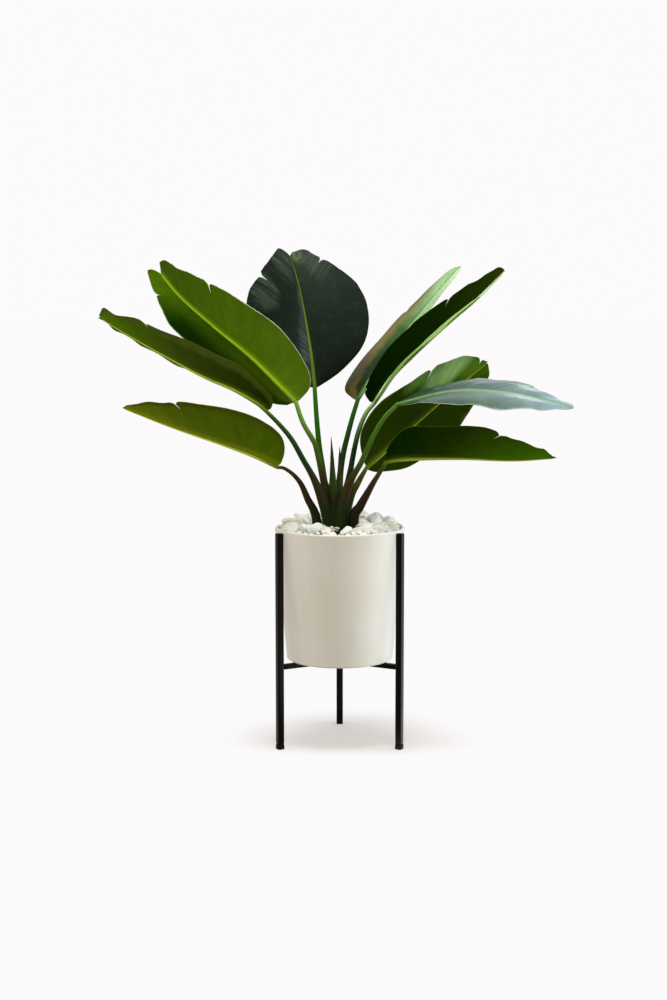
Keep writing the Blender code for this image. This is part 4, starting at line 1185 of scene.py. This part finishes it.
def makeShoot(name, shoot, finish):
    # a rolled new leaf: a slim spear whose outer edge stands proud along a slow spiral
    sides, rings = rolled["sides"], rolled["rings"]
    low = np.array((*shoot["foot"], soilTop - stem["depth"]))
    tip = np.array(shoot["tip"])
    shares = np.linspace(0, 1, rings)
    line = low + (tip - low) * shares[:, None]
    line[:, 0] = low[0] + (tip[0] - low[0]) * shares**2
    radii = np.interp(shares, *zip(*shoot["girth"]))
    turns = np.arange(sides) * 2 * pi / sides
    points = []
    for place, r, share in zip(line, radii, shares):
        roll = ((turns - rolled["wind"] * share - rolled["turn"]) % (2 * pi)) / (2 * pi)
        size = r * (rolled["inner"] + rolled["proud"] * roll)
        offsets = [np.cos(turns) * size, np.sin(turns) * size * rolled["flat"], 0 * turns]
        points.append(place + np.stack(offsets, axis=1))
    values = {"along": np.repeat(shares, sides), "turn": np.tile(turns, rings)}
    piece = fromPoints(name + "_rolled", np.vstack(points), tubeFaces(rings, sides), [finish], values=values)
    rides(piece, "shoot", name)


def makePlant():
    draw = random.Random(blade["seed"])
    for name, leaf in leaves.items():
        makeLeaf(name, leaf, draw)
    skin = shootFinish()
    for name, shoot in shoots.items():
        makeShoot(name, shoot, skin)


# stage, light and camera

studio = {
    "size": 30.0,
    "nearColour": (0.82, 0.784, 0.766),  # lit by the lamps, so it shows the shadow
    "farGlow": (0.972, 0.957, 0.966),
    "farFrom": (0.05, 0.29),
    "shadeMiddle": 0.03,  # the shadow lies round this place, and ends sooner at the front
    "shadeFront": 2.1,
    "sheenRight": 3.0,  # what the pot's glaze and the gloss of the leaves see of the floor on each side
    "sheenCool": (0.90, 1.0, 1.12),
    "sheenLeft": 1.0,
    "sheenFront": 0.12,
    "rightTurns": (0.25, 1.35, 1.95, 2.35),  # the turns where a sheen begins, is full, fades and ends
    "leftTurns": (0.6, 1.5, 2.3, 2.9),
    "bounceColour": (0.30, 0.29, 0.27),
    "ambient": (0.30, 0.285, 0.255),
    "mirrored": (0.10, 0.10, 0.105),  # what the gloss sees between the lamps
    "backdrop": (0.975, 0.962, 0.97),
    "aim": (0.0, 0.0, 0.50),
    "pastTheLegs": ("windowRight", "fillLeft", "potRight", "potLeft"),
    "forThePot": ("potRight", "potLeft"),
    "lamps": {  # place from the pot's axis, width, height, power, colour, seen in the gloss
        "windowRight": ((1.9, 0.10, 1.0), 1.5, 1.9, 26, (0.86, 0.94, 1.0), True),
        "fillLeft": ((-1.9, -0.30, 0.9), 1.6, 1.8, 15, (1.0, 0.96, 0.93), True),
        "frontSoft": ((0.5, -2.4, 1.7), 1.6, 1.2, 27, (1.0, 0.95, 0.85), False),
        "backHigh": ((0.4, 2.3, 2.0), 3.4, 2.0, 26, (0.93, 0.97, 1.0), True),
        "potRight": ((2.4, -0.45, 0.35), 1.0, 1.6, 32, (0.70, 0.81, 1.0), False),
        "potLeft": ((-2.4, -0.50, 0.35), 1.0, 1.6, 10, (0.82, 0.82, 1.0), False),
        "topSoft": ((0.12, -0.10, 2.3), 0.9, 0.9, 34, (1.0, 0.99, 0.97), False),
    },
}
lens = {
    "eye": (0.0, -3.46, 0.915),
    "pitch": 7.24,
    "focal": 65.05,
    "sensor": 36.0,
    "shiftX": -0.0062,
    "farthest": 60,
}


def floorFinish():
    # white to the eye, with the shadow near the stand; the gloss sees a bright right, a paler left
    finish = Finish("paleFloor", Roughness=0.9, Emission_Strength=1.0, Specular_IOR_Level=0.0)
    seen = finish.node("ShaderNodeLightPath")
    mirrored = finish.node("ShaderNodeLightPath", output=3)
    place = finish.objectPlace()
    x, y = finish.split(place, 0), finish.split(place, 1)
    black, white = (0.0, 0.0, 0.0), (1.0, 1.0, 1.0)
    shade = finish.place(x - studio["shadeMiddle"], y.math("MAXIMUM", y, y * -studio["shadeFront"]))
    away = finish.node("ShaderNodeVectorMath", {"operation": "LENGTH"}, {0: shade}, 1)
    far = away.ease(*studio["farFrom"])
    turn = x.math("ARCTAN2", x, 0 - y)
    begin, full, fade, end = studio["rightTurns"]
    right = turn.ease(begin, full) * (1 - turn.ease(fade, end)) * studio["sheenRight"]
    begin, full, fade, end = studio["leftTurns"]
    left = (0 - turn).ease(begin, full) * (1 - (0 - turn).ease(fade, end) * 0.8) * studio["sheenLeft"]
    rightGlow = finish.scaled(studio["sheenCool"], right)
    leftGlow = finish.scaled(white, left + studio["sheenFront"])
    glow = finish.mix(mirrored, black, finish.mix(1.0, rightGlow, leftGlow, "ADD"))
    glow = finish.mix(seen, glow, finish.mix(far, black, studio["farGlow"]))
    lit = finish.mix(seen, studio["bounceColour"], finish.mix(far, studio["nearColour"], black))
    return finish.paint(Base_Color=finish.mix(mirrored, lit, black), Emission_Color=glow)


def makeFloor():
    bm = bmesh.new()
    bmesh.ops.create_grid(bm, x_segments=4, y_segments=4, size=studio["size"])
    floor = fromBmesh("floor", bm, [floorFinish()])
    floor.location = axisPlace


def makeSky():
    # the backdrop's tone to the eye, a dimmer one in the gloss, and the ambient light elsewhere
    sky = bpy.data.worlds.new("studioAir")
    sky.use_nodes = True
    tree = sky.node_tree
    seen = tree.nodes.new("ShaderNodeLightPath")
    gloss, mixed = tree.nodes.new("ShaderNodeMix"), tree.nodes.new("ShaderNodeMix")
    for mix in (gloss, mixed):
        mix.data_type = "RGBA"
    gloss.inputs[6].default_value = (*studio["ambient"], 1)
    gloss.inputs[7].default_value = (*studio["mirrored"], 1)
    mixed.inputs[7].default_value = (*studio["backdrop"], 1)
    tree.links.new(seen.outputs[3], gloss.inputs[0])
    tree.links.new(gloss.outputs[2], mixed.inputs[6])
    tree.links.new(seen.outputs[0], mixed.inputs[0])
    tree.links.new(mixed.outputs[2], tree.nodes["Background"].inputs[0])
    scene.world = sky


def gathered(name, pieces):
    group = bpy.data.collections.new(name)
    for piece in pieces:
        group.objects.link(bpy.data.objects[piece])
    return group


def makeLamps():
    thinBars = gathered("thinBars", ["leg_left_bar", "leg_right_bar"])  # the side lamps shine past these
    for entry in thinBars.collection_objects:
        entry.light_linking.link_state = "EXCLUDE"
    potOnly = gathered("potOnly", ["pot_glazed"])
    middle = Vector(axisPlace)
    aim = middle + Vector(studio["aim"])
    for name, (place, width, height, power, colour, mirrored) in studio["lamps"].items():
        lamp = bpy.data.lights.new(name, "AREA")
        lamp.shape = "RECTANGLE"
        lamp.size, lamp.size_y = width, height
        lamp.energy, lamp.color = power, colour
        holder = bpy.data.objects.new(name, lamp)
        holder.location = middle + Vector(place)
        holder.rotation_euler = (aim - holder.location).to_track_quat("-Z", "Y").to_euler()
        holder.visible_glossy, holder.visible_camera = mirrored, False
        if name in studio["pastTheLegs"]:
            holder.light_linking.blocker_collection = thinBars
        if name in studio["forThePot"]:
            holder.light_linking.receiver_collection = potOnly
        scene.collection.objects.link(holder)


def makeCamera():
    camera = bpy.data.cameras.new("camera")
    camera.lens, camera.sensor_width = lens["focal"], lens["sensor"]
    camera.shift_x = lens["shiftX"]
    camera.clip_end = lens["farthest"]
    holder = bpy.data.objects.new("camera", camera)
    holder.location = Vector(axisPlace) + Vector(lens["eye"])
    holder.rotation_euler = (radians(90 - lens["pitch"]), 0, 0)
    scene.collection.objects.link(holder)
    scene.camera = holder


makeStand()
print("stand made")
makePot()
print("pot made")
makeStones()
print("soil and stones made")
makePlant()
print("leaves and shoots made")
makeFloor()
makeSky()
makeLamps()
scene.view_settings.view_transform = "Standard"
makeCamera()
print("studio and camera made")
